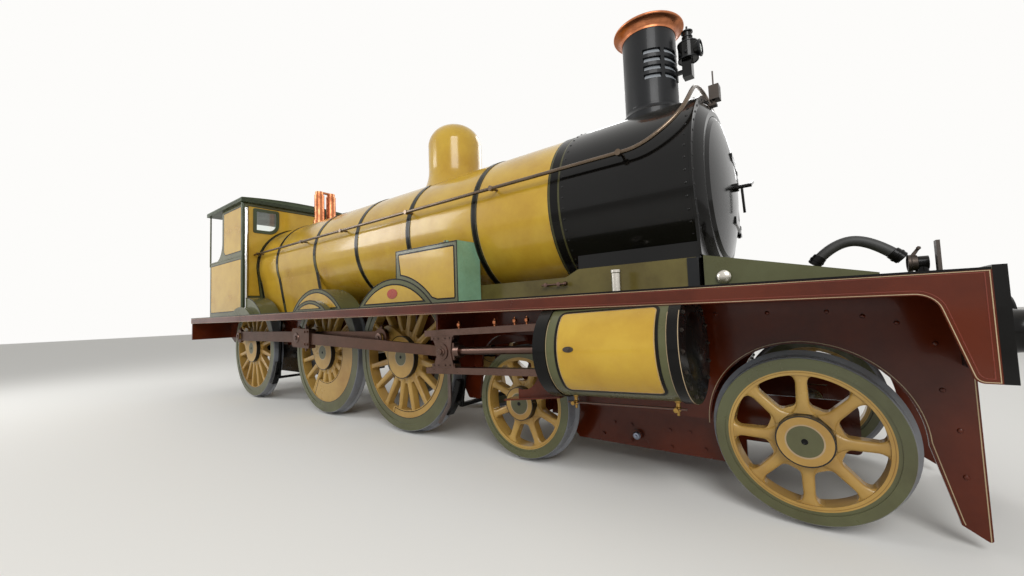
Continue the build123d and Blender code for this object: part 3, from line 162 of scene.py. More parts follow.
# Frames, platform and beams: rolled steel plate, painted chocolate brown below the platform and
# olive above it, brushed on and varnished, with thin cream and red lining along the edges.
def enamel(name, colour, tint="C9B79A", gloss=0.2, dust=0.1, shine=0.35, above=None, rings=None, front=None):
    """Brushed and varnished oil paint: a soft gloss over faint brush marks, a little darker in
    clouds, with dust where it faces up. Dark paint gets little shine, because it would look grey.
    above is a height and the colour over it, rings are colours by distance from an axle, and
    front is the colour of what faces forward."""
    material, tree, skin = new_finish(name, Specular_IOR_Level=shine, Coat_Weight=shine * 0.6,
                                      Coat_Roughness=0.05)
    place = add_node(tree, "ShaderNodeTexCoord").outputs["Object"]
    normal = add_node(tree, "ShaderNodeNewGeometry").outputs["Normal"]
    facing = add_node(tree, "ShaderNodeSeparateXYZ", {0: normal}).outputs
    paint = linear(colour)
    if above:
        height = add_node(tree, "ShaderNodeSeparateXYZ", {0: place}).outputs["Z"]
        over = calc(tree, "GREATER_THAN", height, at(0, 0, above[0]).z)
        paint = mixed(tree, over, paint, linear(above[1]))
    if front:
        paint = mixed(tree, calc(tree, "GREATER_THAN", facing["X"], 0.7), paint, linear(front))
    if rings:
        axle_x, axle_z, steps = rings
        out = add_node(tree, "ShaderNodeVectorMath", {0: place, 1: at(axle_x, 0, axle_z)}, operation="SUBTRACT")
        flat = add_node(tree, "ShaderNodeVectorMath", {0: out.outputs[0], 1: (1, 0, 1)}, operation="MULTIPLY")
        reach = add_node(tree, "ShaderNodeVectorMath", {0: flat.outputs[0]}, operation="LENGTH")
        ramp = add_node(tree, "ShaderNodeValToRGB", {0: reach.outputs["Value"]})
        ramp.color_ramp.interpolation = "CONSTANT"
        ramp.color_ramp.elements[0].color = linear(steps[0][1])
        ramp.color_ramp.elements.remove(ramp.color_ramp.elements[1])
        for (end, _), (_, shade) in zip(steps, steps[1:]):
            ramp.color_ramp.elements.new(end / 1000).color = linear(shade)
        paint = ramp.outputs["Color"]
    # Clouds about half a metre across, and brush marks of 2 mm, drawn at 6 mm to show at all
    clouds = noise(tree, place, 2.2, 6, Roughness=0.62)
    brush = noise(tree, place, 160, 2)
    paint = mixed(tree, remap(tree, clouds, 0.4, 0.75, 0, 0.7), paint, linear(tint), "MULTIPLY")
    settled = calc(tree, "MULTIPLY", remap(tree, facing["Z"], 0.5, 1.0, 0, dust), clouds)
    paint = mixed(tree, settled, paint, linear("A79F8C"))
    dress(tree, skin, paint, brush, 0.06, 0.0008, remap(tree, clouds, 0.3, 0.7, gloss - 0.05, gloss + 0.12))
    return material


def finish(material, *names):
    """Gives CAD nodes this finish."""
    for name in names:
        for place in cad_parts[name].material_slots:
            place.material = material


# The frame plates turn pale olive above the platform, and the front beam is red on its face only
BROWN, OLIVE, OCHRE, BLACK, CREAM, RED = "55200C", "56583A", "BE9A30", "0E0D0C", "AC9878", "6E2A18"
brown_enamel = enamel("brown_frame_enamel", BROWN, "9C8A80", gloss=0.18, shine=0.22)
olive_enamel = enamel("olive_border_enamel", OLIVE, shine=0.25)
black_enamel = enamel("black_enamel", BLACK, "9A9088", gloss=0.22, shine=0.12)
cream_line = enamel("cream_lining", CREAM, gloss=0.3)
red_line = enamel("red_lining", RED, gloss=0.3)
frame_enamel = enamel("frame_plate_enamel", BROWN, "9C8A80", gloss=0.16, shine=0.22, above=(1349, "665C30"))
beam_enamel = enamel("beam_enamel", BLACK, "A09080", shine=0.15, front="8C2616")
finish(frame_enamel, "main_frames")
finish(brown_enamel, "valances", "frame_stays", "bogie_frame", "motion_brackets", "drag_beam")
finish(olive_enamel, "running_plate")
finish(beam_enamel, "buffer_beam")


def make(name, shape, material, body="engine", slot=None, edge=0.0, smooth=32):
    """Turns drawn millimetres into a piece that rides on a body; edge is the width of its bevels."""
    bmesh.ops.recalc_face_normals(shape, faces=shape.faces)
    for corner in shape.verts:
        corner.co = at(*corner.co)
    mesh = bpy.data.meshes.new(name)
    shape.to_mesh(mesh)
    shape.free()
    mesh.materials.append(material)
    mesh.polygons.foreach_set("use_smooth", [True] * len(mesh.polygons))
    mesh.set_sharp_from_angle(angle=math.radians(smooth))
    piece = bpy.data.objects.new(name, mesh)
    bpy.context.collection.objects.link(piece)
    if edge:
        bevel = piece.modifiers.new("eased_edges", "BEVEL")
        bevel.width = edge / 1000
        bevel.segments = 2
        bevel.limit_method = "ANGLE"
        bevel.angle_limit = math.radians(40)
    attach(piece, body)
    return piece


def ring(centre, radius, degrees, y=None):
    """Points on a circle about an (x, z) centre; with y they are points in the drawing."""
    turns = [math.radians(a) for a in degrees]
    flat = [(centre[0] + radius * math.cos(a), centre[1] + radius * math.sin(a)) for a in turns]
    return flat if y is None else [(x, y, z) for x, z in flat]


def rounded(corners, steps=8):
    """Points of a closed outline with (u, v, radius) corners, each with an arc in it."""
    points = []
    for i, (u, v, radius) in enumerate(corners):
        if not radius:
            points.append((u, v))
            continue
        here = Vector((u, v))
        back = (Vector(corners[i - 1][:2]) - here).normalized()
        onward = (Vector(corners[(i + 1) % len(corners)][:2]) - here).normalized()
        half = math.acos(max(-1, min(1, back.dot(onward)))) / 2
        centre = here + (back + onward).normalized() * (radius / math.sin(half))
        start, end = [here + way * radius / math.tan(half) - centre for way in (back, onward)]
        first = math.atan2(start.y, start.x)
        sweep = (math.atan2(end.y, end.x) - first + math.pi) % (2 * math.pi) - math.pi
        for k in range(steps + 1):
            turn = first + sweep * k / steps
            points.append((centre.x + radius * math.cos(turn), centre.y + radius * math.sin(turn)))
    return points


def add_skin(shape, rows, round_all=False):
    """Faces between rows of points; round_all also joins each row's end to its start."""
    for low, high in zip(rows, rows[1:]):
        for k in range(len(low) if round_all else len(low) - 1):
            n = (k + 1) % len(low)
            shape.faces.new((low[k], low[n], high[n], high[k]))


def add_strip(shape, path, facing, width, lift=1.5, closed=False):
    """A flat line of paint or metal along a path that lies on a surface. facing is one outward
    direction, or one for each point."""
    count = len(path)
    if isinstance(facing[0], (int, float)):
        facing = [facing] * count
    path = [Vector(p) for p in path]
    rows = []
    for i, here in enumerate(path):
        first, last = not closed and i == 0, not closed and i == count - 1
        arrive = (path[1] - here if first else here - path[i - 1]).normalized()
        leave = arrive if last else (path[(i + 1) % count] - here).normalized()
        along, out = (arrive + leave).normalized(), Vector(facing[i]).normalized()
        # A corner is drawn wider, so that both its lines keep their width
        side = along.cross(out).normalized() * (width / 2 / max(0.35, along.dot(leave)))
        section = ((-1, -1), (1, -1), (1, lift), (-1, lift))
        rows.append([shape.verts.new(here + side * a + out * b) for a, b in section])
    add_skin(shape, rows + rows[:1] if closed else rows, round_all=True)
    if not closed:
        shape.faces.new(rows[0][::-1])
        shape.faces.new(rows[-1])


def add_prism(shape, points, push):
    """A plate: a drawn outline of 3-D points, thickened by a push."""
    near = [shape.verts.new(p) for p in points]
    far = [shape.verts.new(Vector(p) + Vector(push)) for p in points]
    shape.faces.new(near)
    shape.faces.new(far[::-1])
    add_skin(shape, [near, far], round_all=True)


def add_box(shape, x0, x1, y0, y1, z0, z1):
    add_prism(shape, [(x0, y0, z0), (x1, y0, z0), (x1, y1, z0), (x0, y1, z0)], (0, 0, z1 - z0))


def add_turned(shape, centre, axis, profile, steps=48):
    """A turned shape: (radius, distance along the axis) points, closed where they meet the axis."""
    axis = Vector(axis).normalized()
    first = axis.orthogonal().normalized()
    second = axis.cross(first)
    closed = profile[0] == profile[-1]
    rings = []
    for radius, along in profile[:-1] if closed else profile:
        middle = Vector(centre) + axis * along
        turns = [2 * math.pi * k / steps for k in range(steps)] if radius else [0]
        points = [middle + (first * math.cos(a) + second * math.sin(a)) * radius for a in turns]
        rings.append([shape.verts.new(point) for point in points])
    if closed:
        rings.append(rings[0])
    for low, high in zip(rings, rings[1:]):
        for k in range(steps):
            n = (k + 1) % steps
            corners = [low[k % len(low)], low[n % len(low)], high[n % len(high)], high[k % len(high)]]
            shape.faces.new(list(dict.fromkeys(corners)))
    for end in () if closed else (rings[0][::-1], rings[-1]):
        if len(end) > 1:
            shape.faces.new(end)


def make_turned(name, place, axis, profile, steps, material, **how):
    """A piece that is one turned shape."""
    shape = bmesh.new()
    add_turned(shape, place, axis, profile, steps)
    return make(name, shape, material, **how)


def add_bolt(shape, place, facing, radius, height, sides=6):
    """A bolt head with its washer, or with more sides a rivet's snap head."""
    head = [(radius, -3), (radius, 2), (radius * 0.75, height * 0.75), (radius * 0.35, height)]
    if sides == 6:
        head = [(0, -3), (radius * 1.3, -3), (radius * 1.3, 3), (radius, 3), (radius, height)]
    add_turned(shape, place, facing, head + [(0, height)], sides)


SIDES = (("right", -1), ("left", 1))
PLATFORM_TOP, VALANCE_FACE, FRAME_FACE, REAR_END = 1354, 1240, 620, -4102
# Snap-headed rivets that hold the front beam to its angles, and the nuts round each buffer
BEAM_FACE, BUFFER_Y, BUFFER_Z = 5971, 865, 1080
shape = bmesh.new()
for y in range(-1150, 1151, 115):
    for z in (925, 1315):
        if abs(abs(y) - BUFFER_Y) > 190 or z > 1300:
            add_bolt(shape, (BEAM_FACE, y, z), (1, 0, 0), 15, 11, 14)
for y in (-BUFFER_Y, BUFFER_Y):
    for dy, dz in ((-140, -140), (140, -140), (-140, 140), (140, 140)):
        add_bolt(shape, (BEAM_FACE, y + dy, BUFFER_Z + dz), (1, 0, 0), 16, 17)
make("front_beam_rivets", shape, beam_enamel, slot="black_paint")
# Rivets of the frame's stays and angles, lower where the frame dips behind the cylinders
shape = bmesh.new()
stay_rivets = [(x, 1310 if x < 3500 else 1180) for x in range(-3900, 5700, 300)]
end_rivets = [(5560, 1150), (5700, 1110), (5840, 1000), (5850, 760), (5900, 560), (5905, 330)]
for _, sign in SIDES:
    for x, z in stay_rivets + end_rivets:
        add_bolt(shape, (x, sign * FRAME_FACE, z), (0, sign, 0), 13, 10, 12)
make("frame_rivets", shape, brown_enamel, slot="frame_paint")
# Joints between the platform's plates, as thin dark seams, and the bolts of the drag beam
shape = bmesh.new()
for x, inner in ((-3000, 1040), (-1180, 1040), (900, 1040), (2760, 640), (3480, 640), (4960, 640), (5800, 640)):
    for _, sign in SIDES:
        seam = [(x, sign * inner, PLATFORM_TOP), (x, sign * (VALANCE_FACE - 2), PLATFORM_TOP)]
        add_strip(shape, seam, (0, 0, 1), 5, 0.6)
for _, sign in SIDES:
    for y in (200, 330, 900, 1100):
        for z in (1000, 1150, 1290):
            add_bolt(shape, (REAR_END, sign * y, z), (-1, 0, 0), 14, 11, 12)
make("platform_seams", shape, black_enamel, slot="black_paint")
# Lining of the valances: cream along the lower edge and the front, and a thin red line inside it.
# A cream line follows the frame's arch over the front wheel, and a black bead the platform's edge.
for side, sign in SIDES:
    face = sign * VALANCE_FACE
    for tone, line, slot, inset in (("cream", cream_line, "yellow_paint", 6),
                                    ("red", red_line, "frame_paint", 20)):
        shape = bmesh.new()
        rear, front, slant = REAR_END + inset, 5929 - inset, inset * 0.7
        low, foot, top = 1251 + inset, 892 + inset, 1343 - inset * 0.5
        corners = [(rear, low, 0), (5762 + slant, low, 80 + inset), (5858 + slant, foot, 30), (front, foot, 0),
                   (front, top, 0), (rear, top, 0)]
        add_strip(shape, [(x, face, z) for x, z in rounded(corners)], (0, sign, 0), 3, 1.0, closed=True)
        make(f"valance_lining_{side}_{tone}", shape, line, slot=slot)
    shape = bmesh.new()
    arch = ring((5257, 465), 537, range(182, -2, -4)) + [(5880, 112), (5886, 92)]
    for path in (arch, [(5968, 32), (5968, 884)]):
        add_strip(shape, [(x, sign * FRAME_FACE, z) for x, z in path], (0, sign, 0), 4, 1.0)
    make(f"frame_lining_{side}", shape, cream_line, slot="yellow_paint")
    shape = bmesh.new()
    add_strip(shape, [(-4100, face, 1349), (5928, face, 1349)], (0, sign, 0), 10, 1.6)
    make(f"platform_edge_{side}", shape, black_enamel, slot="black_paint")


# Wheels: cast steel centres painted ochre, with shrunk-on steel tyres. The tyre faces and the rims
# are olive, a black line runs round rim and hub, and the treads are left bare and polished by rails.
def worn_steel(name, colour, rough=0.3, oil="4A3A30", oiled=0.5):
    """Bare machined steel under thin oil: soft streaked shine with brown oil in clouds."""
    material, tree, skin = new_finish(name, Metallic=1.0)
    place = add_node(tree, "ShaderNodeTexCoord").outputs["Object"]
    clouds = noise(tree, place, 5, 6, Roughness=0.65)
    # Grinding marks of about 0.5 mm, drawn at 4 mm
    stretch = add_node(tree, "ShaderNodeMapping", {"Vector": place, "Scale": (12, 260, 260)})
    marks = noise(tree, stretch.outputs[0], 1.0, 2)
    paint = mixed(tree, remap(tree, clouds, 0.42, 0.72, 0.0, oiled), linear(colour), linear(oil))
    dress(tree, skin, paint, marks, 0.12, 0.0005, remap(tree, marks, 0.3, 0.7, rough - 0.06, rough + 0.12))
    return material


# Each colour reaches from the axle's middle out to its radius
WHEEL, TREAD, LINE_SHADE = "AE8C48", "777A80", "8A6A2C"
COUPLED, COUPLED_Z = {"leading": 1676, "main": 0, "trailing": -2362}, 800
BOGIE, BOGIE_Z = {"front_bogie": 5257, "rear_bogie": 3276}, 465
AXLES = {name: (x, COUPLED_Z) for name, x in COUPLED.items()}
AXLES.update({name: (x, BOGIE_Z) for name, x in BOGIE.items()})
coupled_rings = [(88, OLIVE), (94, CREAM), (220, WHEEL), (232, BLACK), (655, WHEEL), (664, BLACK), (800, OLIVE)]
bogie_rings = [(85, OLIVE), (92, CREAM), (130, WHEEL), (140, BLACK), (374, WHEEL), (378, LINE_SHADE),
               (386, WHEEL), (465, OLIVE)]
for name, (x, z) in AXLES.items():
    rings, rim, tint, gloss = coupled_rings, 789, "C0A890", 0.3
    if name in BOGIE:
        rings, rim, tint, gloss = bogie_rings, 454, "B59A7C", 0.26
    tread = [(rim, OLIVE), (z, TREAD)]
    finish(enamel(f"{name}_wheel_enamel", OCHRE, tint, gloss=gloss, rings=(x, z, rings)), f"{name}_wheels")
    finish(enamel(f"{name}_tyre_enamel", OLIVE, "A89078", gloss=gloss, rings=(x, z, tread)), f"{name}_tyres")


SPOKE_FACE, WEIGHT_FACE, AXLE_END = 789.4, 806, 855


def add_spoke_crown(shape, axle, sign, angle, ends, widths, flare, high):
    """The rounded outer side of a cast spoke, which spreads towards hub and rim."""
    turn = math.radians(angle)
    along, across = Vector((math.cos(turn), 0, math.sin(turn))), Vector((-math.sin(turn), 0, math.cos(turn)))
    rows = []
    for k in range(13):
        reach = ends[0] + (ends[1] - ends[0]) * k / 12
        spread = max(0, 1 - (reach - ends[0]) / flare) ** 2 + max(0, 1 - (ends[1] - reach) / flare) ** 2
        half = widths[0] + (widths[1] - widths[0]) * k / 12 + flare * 0.45 * spread
        row = []
        for j in range(9):
            u = math.cos(math.pi * (1 - j / 8))
            crown = Vector((axle[0], sign * (SPOKE_FACE + high * math.sqrt(max(0, 1 - u * u))), axle[1]))
            row.append(shape.verts.new(crown + along * reach + across * u * half))
        rows.append(row)
    add_skin(shape, rows, round_all=True)
    shape.faces.new(rows[0][::-1])
    shape.faces.new(rows[-1])


CRANKS = {-1: 136, 1: 226}
coupled_spoke = dict(ends=(228, 656), widths=(36, 24), flare=46, high=14)
bogie_spoke = dict(ends=(142, 366), widths=(31, 26), flare=60, high=15)
for name, axle in AXLES.items():
    shape = bmesh.new()
    for sign, crank in CRANKS.items():
        first, count, spoke = (crank + 11.25, 16, coupled_spoke) if name in COUPLED else (0, 8, bogie_spoke)
        if name == "rear_bogie":
            first = 22.5
        for k in range(count):
            add_spoke_crown(shape, axle, sign, first + k * 360 / count, **spoke)
    spoke_enamel = enamel(f"{name}_spoke_enamel", WHEEL, "B8A088", gloss=0.28)
    make(f"{name}_spoke_crowns", shape, spoke_enamel, body=f"{name}_axle", slot="yellow_paint", smooth=60)
# Black lines round the balance weights opposite the cranks, and the turning centres in the axle ends
for name, half, inner in (("leading", 66, 580), ("main", 76, 400)):
    shape = bmesh.new()
    for sign, crank in CRANKS.items():
        turns = [crank + 180 + (half - 3) * (k / 20 - 1) for k in range(41)]
        path = ring(AXLES[name], 676, turns, sign * WEIGHT_FACE)
        path += ring(AXLES[name], inner + 14, turns[::-1], sign * WEIGHT_FACE)
        add_strip(shape, path, (0, sign, 0), 7, 1.2, closed=True)
    make(f"{name}_weight_lines", shape, black_enamel, body=f"{name}_axle", slot="black_paint")
CENTRE = [(16, 0), (16, 3), (12, 4), (7, 1.6), (0, 1.4)]
for name, (x, z) in AXLES.items():
    shape = bmesh.new()
    for _, sign in SIDES:
        add_turned(shape, (x, sign * AXLE_END, z), (0, sign, 0), CENTRE, 20)
    make(f"{name}_axle_centres", shape, black_enamel, body=f"{name}_axle", slot="black_paint")


# Motion: forged and machined steel rods, crossheads and slide bars, bare under a film of oil that
# has turned brown, with copper oil cups on the bars.
def polished(name, colour, tarnish, rough=0.16):
    """Hand-polished copper or brass: clear shine with cloudy tarnish that the cloth has missed."""
    material, tree, skin = new_finish(name, Metallic=1.0)
    place = add_node(tree, "ShaderNodeTexCoord").outputs["Object"]
    clouds = noise(tree, place, 9, 7, Roughness=0.6)
    paint = mixed(tree, remap(tree, clouds, 0.45, 0.7, 0.0, 0.75), linear(colour), linear(tarnish))
    # Hammer marks of about 20 mm
    dents = noise(tree, place, 45, 1)
    dress(tree, skin, paint, dents, 0.08, 0.002, remap(tree, clouds, 0.35, 0.7, rough, rough + 0.2))
    return material


# Forged rods are duller and oilier than what is machined, and small iron fittings are nearly black
bright_steel = worn_steel("machined_steel", "69534B", rough=0.3)
rod_steel = worn_steel("forged_rod_steel", "5E453A", rough=0.36, oiled=0.7)
dark_steel = worn_steel("black_iron_fittings", "4C4743", rough=0.42)
copper = polished("polished_copper", "C07A54", "7E4A32", rough=0.26)
brass = polished("polished_brass", "B08C4E", "6E5630", rough=0.24)
finish(rod_steel, "coupling_rod_right", "coupling_rod_left", "connecting_rod_right", "connecting_rod_left")
finish(bright_steel, "crosshead_right", "crosshead_left", "slide_bars")
finish(worn_steel("sand_pipe_steel", "6E625E", rough=0.3), "sand_pipes")
finish(black_enamel, "axleboxes", "ashpan")

CYLINDER_Y, SLOPE, THROW, ROD_LENGTH = 1050, math.atan(1 / 24), 305, 2820
OIL_CUP = [(0, -2), (9, -2), (9, 14), (17, 20), (20, 32), (18, 46), (12, 52), (6, 54), (6, 64), (0, 66)]
PIN_COLLAR = [(0, -6), (52, -6), (60, -2), (60, 8), (52, 12), (26, 12), (24, 22), (0, 22)]
BIG_END_COLLAR = [(0, -4), (66, -4), (70, 0), (66, 7), (30, 9), (28, 20), (0, 20)]
ROD_CUP = [(0, -2), (22, -2), (22, 20), (17, 26), (10, 28), (9, 38), (0, 40)]
BIG_END_CUP = [(0, 0), (26, 0), (26, 22), (20, 28), (11, 30), (10, 42), (0, 44)]
GUDGEON_NUT = [(0, 0), (44, 0), (44, 8), (38, 12), (27, 12), (27, 26), (0, 28)]
for side, sign in SIDES:
    crank = CRANKS[sign]
    pins = {name: ring((x, COUPLED_Z), THROW, [crank])[0] for name, x in COUPLED.items()}
    outward = (0, sign, 0)
    # Oil cups stand on the upper slide bar, 200 mm above the cylinder's sloping centre line
    shape = bmesh.new()
    for x in (2780, 3200, 3410, 3530):
        add_turned(shape, (x, sign * CYLINDER_Y, COUPLED_Z + x / 24 + 200), (0, 0, 1), OIL_CUP, 16)
    make(f"oil_cups_{side}", shape, copper, slot="copper")
    # Collars that keep the rods on the crank pins; the main one turns with its connecting rod
    for name, reach, profile in (("leading", 975.5, PIN_COLLAR), ("trailing", 975.5, PIN_COLLAR),
                                 ("main", 1095.5, BIG_END_COLLAR)):
        x, z = pins[name]
        carrier = f"connecting_rod_{side}" if name == "main" else f"{name}_axle"
        make_turned(f"pin_collar_{side}_{name}_axle", (x, sign * reach, z), outward, profile, 32, bright_steel,
                    body=carrier, slot="steel")
    shape = bmesh.new()
    for name in ("trailing", "main", "leading"):
        x, z = pins[name]
        add_turned(shape, (x, sign * 935, z + 110), (0, 0, 1), ROD_CUP, 20)
    make(f"coupling_rod_cups_{side}", shape, rod_steel, body=f"coupling_rod_{side}", slot="steel", edge=1)
    # The nut of the crosshead's gudgeon pin, and the bolts of its slippers
    swing = math.radians(crank) - SLOPE
    along = math.cos(swing) * THROW + math.sqrt(ROD_LENGTH ** 2 - (math.sin(swing) * THROW) ** 2)
    x, z = along * math.cos(SLOPE), COUPLED_Z + along * math.sin(SLOPE)
    shape = bmesh.new()
    add_turned(shape, (x, sign * 1100, z), outward, GUDGEON_NUT, 6)
    for dx in (-105, -45, 45, 105):
        for dz in (-121, 121):
            add_bolt(shape, (x + dx, sign * 1086, z + dx * SLOPE + dz), outward, 10, 9)
    make(f"crosshead_fittings_{side}", shape, bright_steel, body=f"crosshead_{side}", slot="steel", edge=1)
    # The oil cup, cotter and strap bolts of the connecting rod's big end
    shape = bmesh.new()
    x, z = pins["main"]
    add_turned(shape, (x, sign * CYLINDER_Y, z + 120), (0, 0, 1), BIG_END_CUP, 20)
    add_box(shape, x + 165, x + 195, sign * 1042, sign * 1058, z - 175, z + 175)
    for dx in (235, 300):
        for dz in (-80, 80):
            add_bolt(shape, (x + dx, sign * 1094, z + dz), outward, 15, 14)
    make(f"big_end_fittings_{side}", shape, rod_steel, body=f"connecting_rod_{side}", slot="steel", edge=1)


# Cylinders: cast iron under a sheet steel casing that is painted ochre in an olive border with
# rounded black lining, between black covers held by nuts.
ochre_enamel = enamel("ochre_body_enamel", OCHRE, "D2BC88", gloss=0.17)
finish(olive_enamel, "cylinders")
finish(black_enamel, "cylinder_covers")
CASING, PANEL_REAR, PANEL_FRONT, PANEL_TURN = 325, 3985, 4645, 52
ARC = 5.672  # Millimetres round the casing for each degree
LEAN, SQUARE_ON = Vector((math.cos(SLOPE), 0, math.sin(SLOPE))), Vector((-math.sin(SLOPE), 0, math.cos(SLOPE)))


def casing_out(sign, degrees):
    """The way out from the cylinder's centre line, in degrees up from its outer side."""
    turn = math.radians(degrees)
    return Vector((0, sign * math.cos(turn), 0)) + SQUARE_ON * math.sin(turn)


def on_casing(sign, along, degrees, out=0, radius=CASING):
    """A point on the casing, at a distance along the cylinder's sloping centre line."""
    return Vector((0, sign * CYLINDER_Y, COUPLED_Z)) + LEAN * along + casing_out(sign, degrees) * (radius + out)


def add_casing_line(shape, sign, inset, radius, width):
    """A closed line with round corners that bends round the casing inside the panel's edge."""
    rear, front, half = PANEL_REAR + inset, PANEL_FRONT - inset, PANEL_TURN * ARC - inset
    corners = ((rear, -half), (front, -half), (front, half), (rear, half))
    outline = rounded([(u, v, radius) for u, v in corners])
    path = []
    for (u0, v0), (u1, v1) in zip(outline, outline[1:] + outline[:1]):
        count = max(1, int(math.hypot(u1 - u0, v1 - v0) / 14))
        path += [(u0 + (u1 - u0) * k / count, (v0 + (v1 - v0) * k / count) / ARC) for k in range(count)]
    add_strip(shape, [on_casing(sign, u, v, 1.2) for u, v in path], [casing_out(sign, v) for u, v in path],
              width, 1.6, closed=True)


COVER_NUT = [(0, -4), (12, -4), (12, 9), (7, 11), (6, 15), (0, 15)]
DRAIN_COCK = [(0, 0), (20, 0), (20, 14), (13, 20), (13, 42), (19, 46), (19, 66), (10, 72), (8, 96), (0, 96)]
COCK_HANDLE = [(0, 0), (9, 0), (9, 34), (14, 38), (14, 48), (0, 50)]
for side, sign in SIDES:
    corner = 45
    shape, rows = bmesh.new(), []
    for i in range(41):
        turn = PANEL_TURN * (i / 20 - 1)
        depth = math.radians(PANEL_TURN - abs(turn)) * CASING
        cut = corner - math.sqrt(corner ** 2 - max(0, corner - depth) ** 2)
        rear, length = PANEL_REAR + cut, PANEL_FRONT - PANEL_REAR - 2 * cut
        row = [on_casing(sign, rear + length * k / 6, turn, 1.2) for k in range(7)]
        rows.append([shape.verts.new(point) for point in row])
    add_skin(shape, rows)
    make(f"cylinder_panel_{side}", shape, ochre_enamel, slot="yellow_paint")
    shape = bmesh.new()
    add_casing_line(shape, sign, 0, corner, 18)
    make(f"cylinder_lining_{side}", shape, black_enamel, slot="black_paint")
    # A thin pale line inside the black one, and others at both edges of the casing and round the
    # lip of the front cover
    shape = bmesh.new()
    add_casing_line(shape, sign, 13, 34, 3)
    turns = range(-150, 43, 4)
    for along, out in ((3910, 0), (4698, 0), (4764, 10)):
        add_strip(shape, [on_casing(sign, along, turn, out) for turn in turns],
                  [casing_out(sign, turn) for turn in turns], 4, 1.2)
    make(f"cylinder_pale_lines_{side}", shape, cream_line, slot="yellow_paint")
    # The plug of the indicator's hole: an oval flange and a nut
    shape = bmesh.new()
    turns = [2 * math.pi * k / 28 for k in range(28)]
    oval = [on_casing(sign, 4080 + 38 * math.cos(a), 4 + 3.3 * math.sin(a), -1) for a in turns]
    add_prism(shape, oval, casing_out(sign, 4) * 8)
    add_bolt(shape, on_casing(sign, 4080, 4, 7), casing_out(sign, 4), 10, 9)
    make(f"indicator_plug_{side}", shape, dark_steel, slot="steel", edge=1.5)
    shape = bmesh.new()
    for k in range(16):
        add_turned(shape, on_casing(sign, 4770, k * 22.5, radius=300), LEAN, COVER_NUT, 6)
    make(f"cover_nuts_{side}", shape, dark_steel, slot="steel")
    shape = bmesh.new()
    for k in range(8):
        add_bolt(shape, on_casing(sign, 3808, k * 45 + 22.5, radius=150), -LEAN, 13, 16)
    make(f"gland_nuts_{side}", shape, dark_steel, slot="steel")
    # Drain cocks under each end of the cylinder, and the rod that works both
    shape = bmesh.new()
    for along in (3960, 4650):
        foot = on_casing(sign, along, -80, -12)
        add_turned(shape, foot, (0, 0, -1), DRAIN_COCK, 20)
        add_turned(shape, foot + Vector((0, sign * 6, -56)), (0, sign, 0), COCK_HANDLE, 14)
    make(f"drain_cocks_{side}", shape, brass, slot="copper")
    make_turned(f"drain_cock_rod_{side}", on_casing(sign, 3900, -80, 44), LEAN,
                [(0, 0), (7, 0), (7, 800), (0, 800)], 12, bright_steel, slot="steel")


# Boiler: riveted steel inside a clothing of thin sheet steel, painted ochre and held by olive
# bands with a broad black stripe, each edged by a thin cream line.
finish(ochre_enamel, "boiler", "dome", "firebox")
finish(enamel("boiler_band_enamel", "45442A", shine=0.2), "boiler_bands")
BOILER_Z, BOILER_RADIUS, CAB_END, SMOKEBOX_END = 2177, 742, -2396, 3699


def boiler_hoop(out):
    """Points and ways out right round the boiler."""
    facing = [(math.cos(a), math.sin(a)) for a in [2 * math.pi * k / 120 for k in range(120)]]
    radius = BOILER_RADIUS + out
    return [(radius * y, BOILER_Z + radius * z) for y, z in facing], facing


def firebox_hoop(out):
    """Points and ways out up one side of the firebox, over its round top and down the other side."""
    radius, foot_y, foot_z = BOILER_RADIUS + out, 600, 1356
    spread, rise = BOILER_RADIUS - foot_y, BOILER_Z - foot_z
    path = [(foot_y + out + spread * k / 8, foot_z + rise * k / 8) for k in range(8)]
    facing = [(0.985, -0.17)] * 8
    for k in range(61):
        turn = math.pi * k / 60
        path.append((radius * math.cos(turn), BOILER_Z + radius * math.sin(turn)))
        facing.append((math.cos(turn), math.sin(turn)))
    path += [(-y, z) for y, z in path[:8][::-1]]
    facing += [(-y, z) for y, z in facing[:8][::-1]]
    return path, facing


stripes, edges = bmesh.new(), bmesh.new()
for x, width, hoop in ((-420, 70, firebox_hoop), (659, 70, boiler_hoop), (1703, 70, boiler_hoop),
                       (2716, 70, boiler_hoop), (3638, 120, boiler_hoop), (-1640, 70, firebox_hoop),
                       (-2364, 70, firebox_hoop)):
    for shape, place, wide, out in ((stripes, 0, 0.62 * width, 6), (stripes, 2 - width / 2, 4, 6),
                                    (stripes, width / 2 - 2, 4, 6), (edges, -3 - width / 2, 4, 0),
                                    (edges, width / 2 + 3, 4, 0)):
        if CAB_END <= x + place <= SMOKEBOX_END:
            path, facing = hoop(out)
            add_strip(shape, [(x + place, y, z) for y, z in path], [(0, y, z) for y, z in facing], wide, 0.8,
                      closed=hoop is boiler_hoop)
make("band_stripes", stripes, black_enamel, slot="black_paint")
make("band_edge_lines", edges, cream_line, slot="yellow_paint")

# Safety valves: two columns in polished copper sheet, spun and soldered, which stand side by side
# over the firebox.
finish(copper, "safety_valves")

# Smokebox, chimney and lamp: rolled plate in gloss black, with a blue-black chimney whose cap is
# spun and beaten copper, and cast iron door furniture.
gloss_black = enamel("smokebox_gloss_black", "0B0A09", "8A8078", gloss=0.12, shine=0.2)
chimney_black = enamel("chimney_blue_black", "1A1B1D", "8A8C90", gloss=0.32, shine=0.2)
finish(gloss_black, "smokebox", "smokebox_front", "smokebox_door", "head_lamp", "saddle")
finish(chimney_black, "chimney")
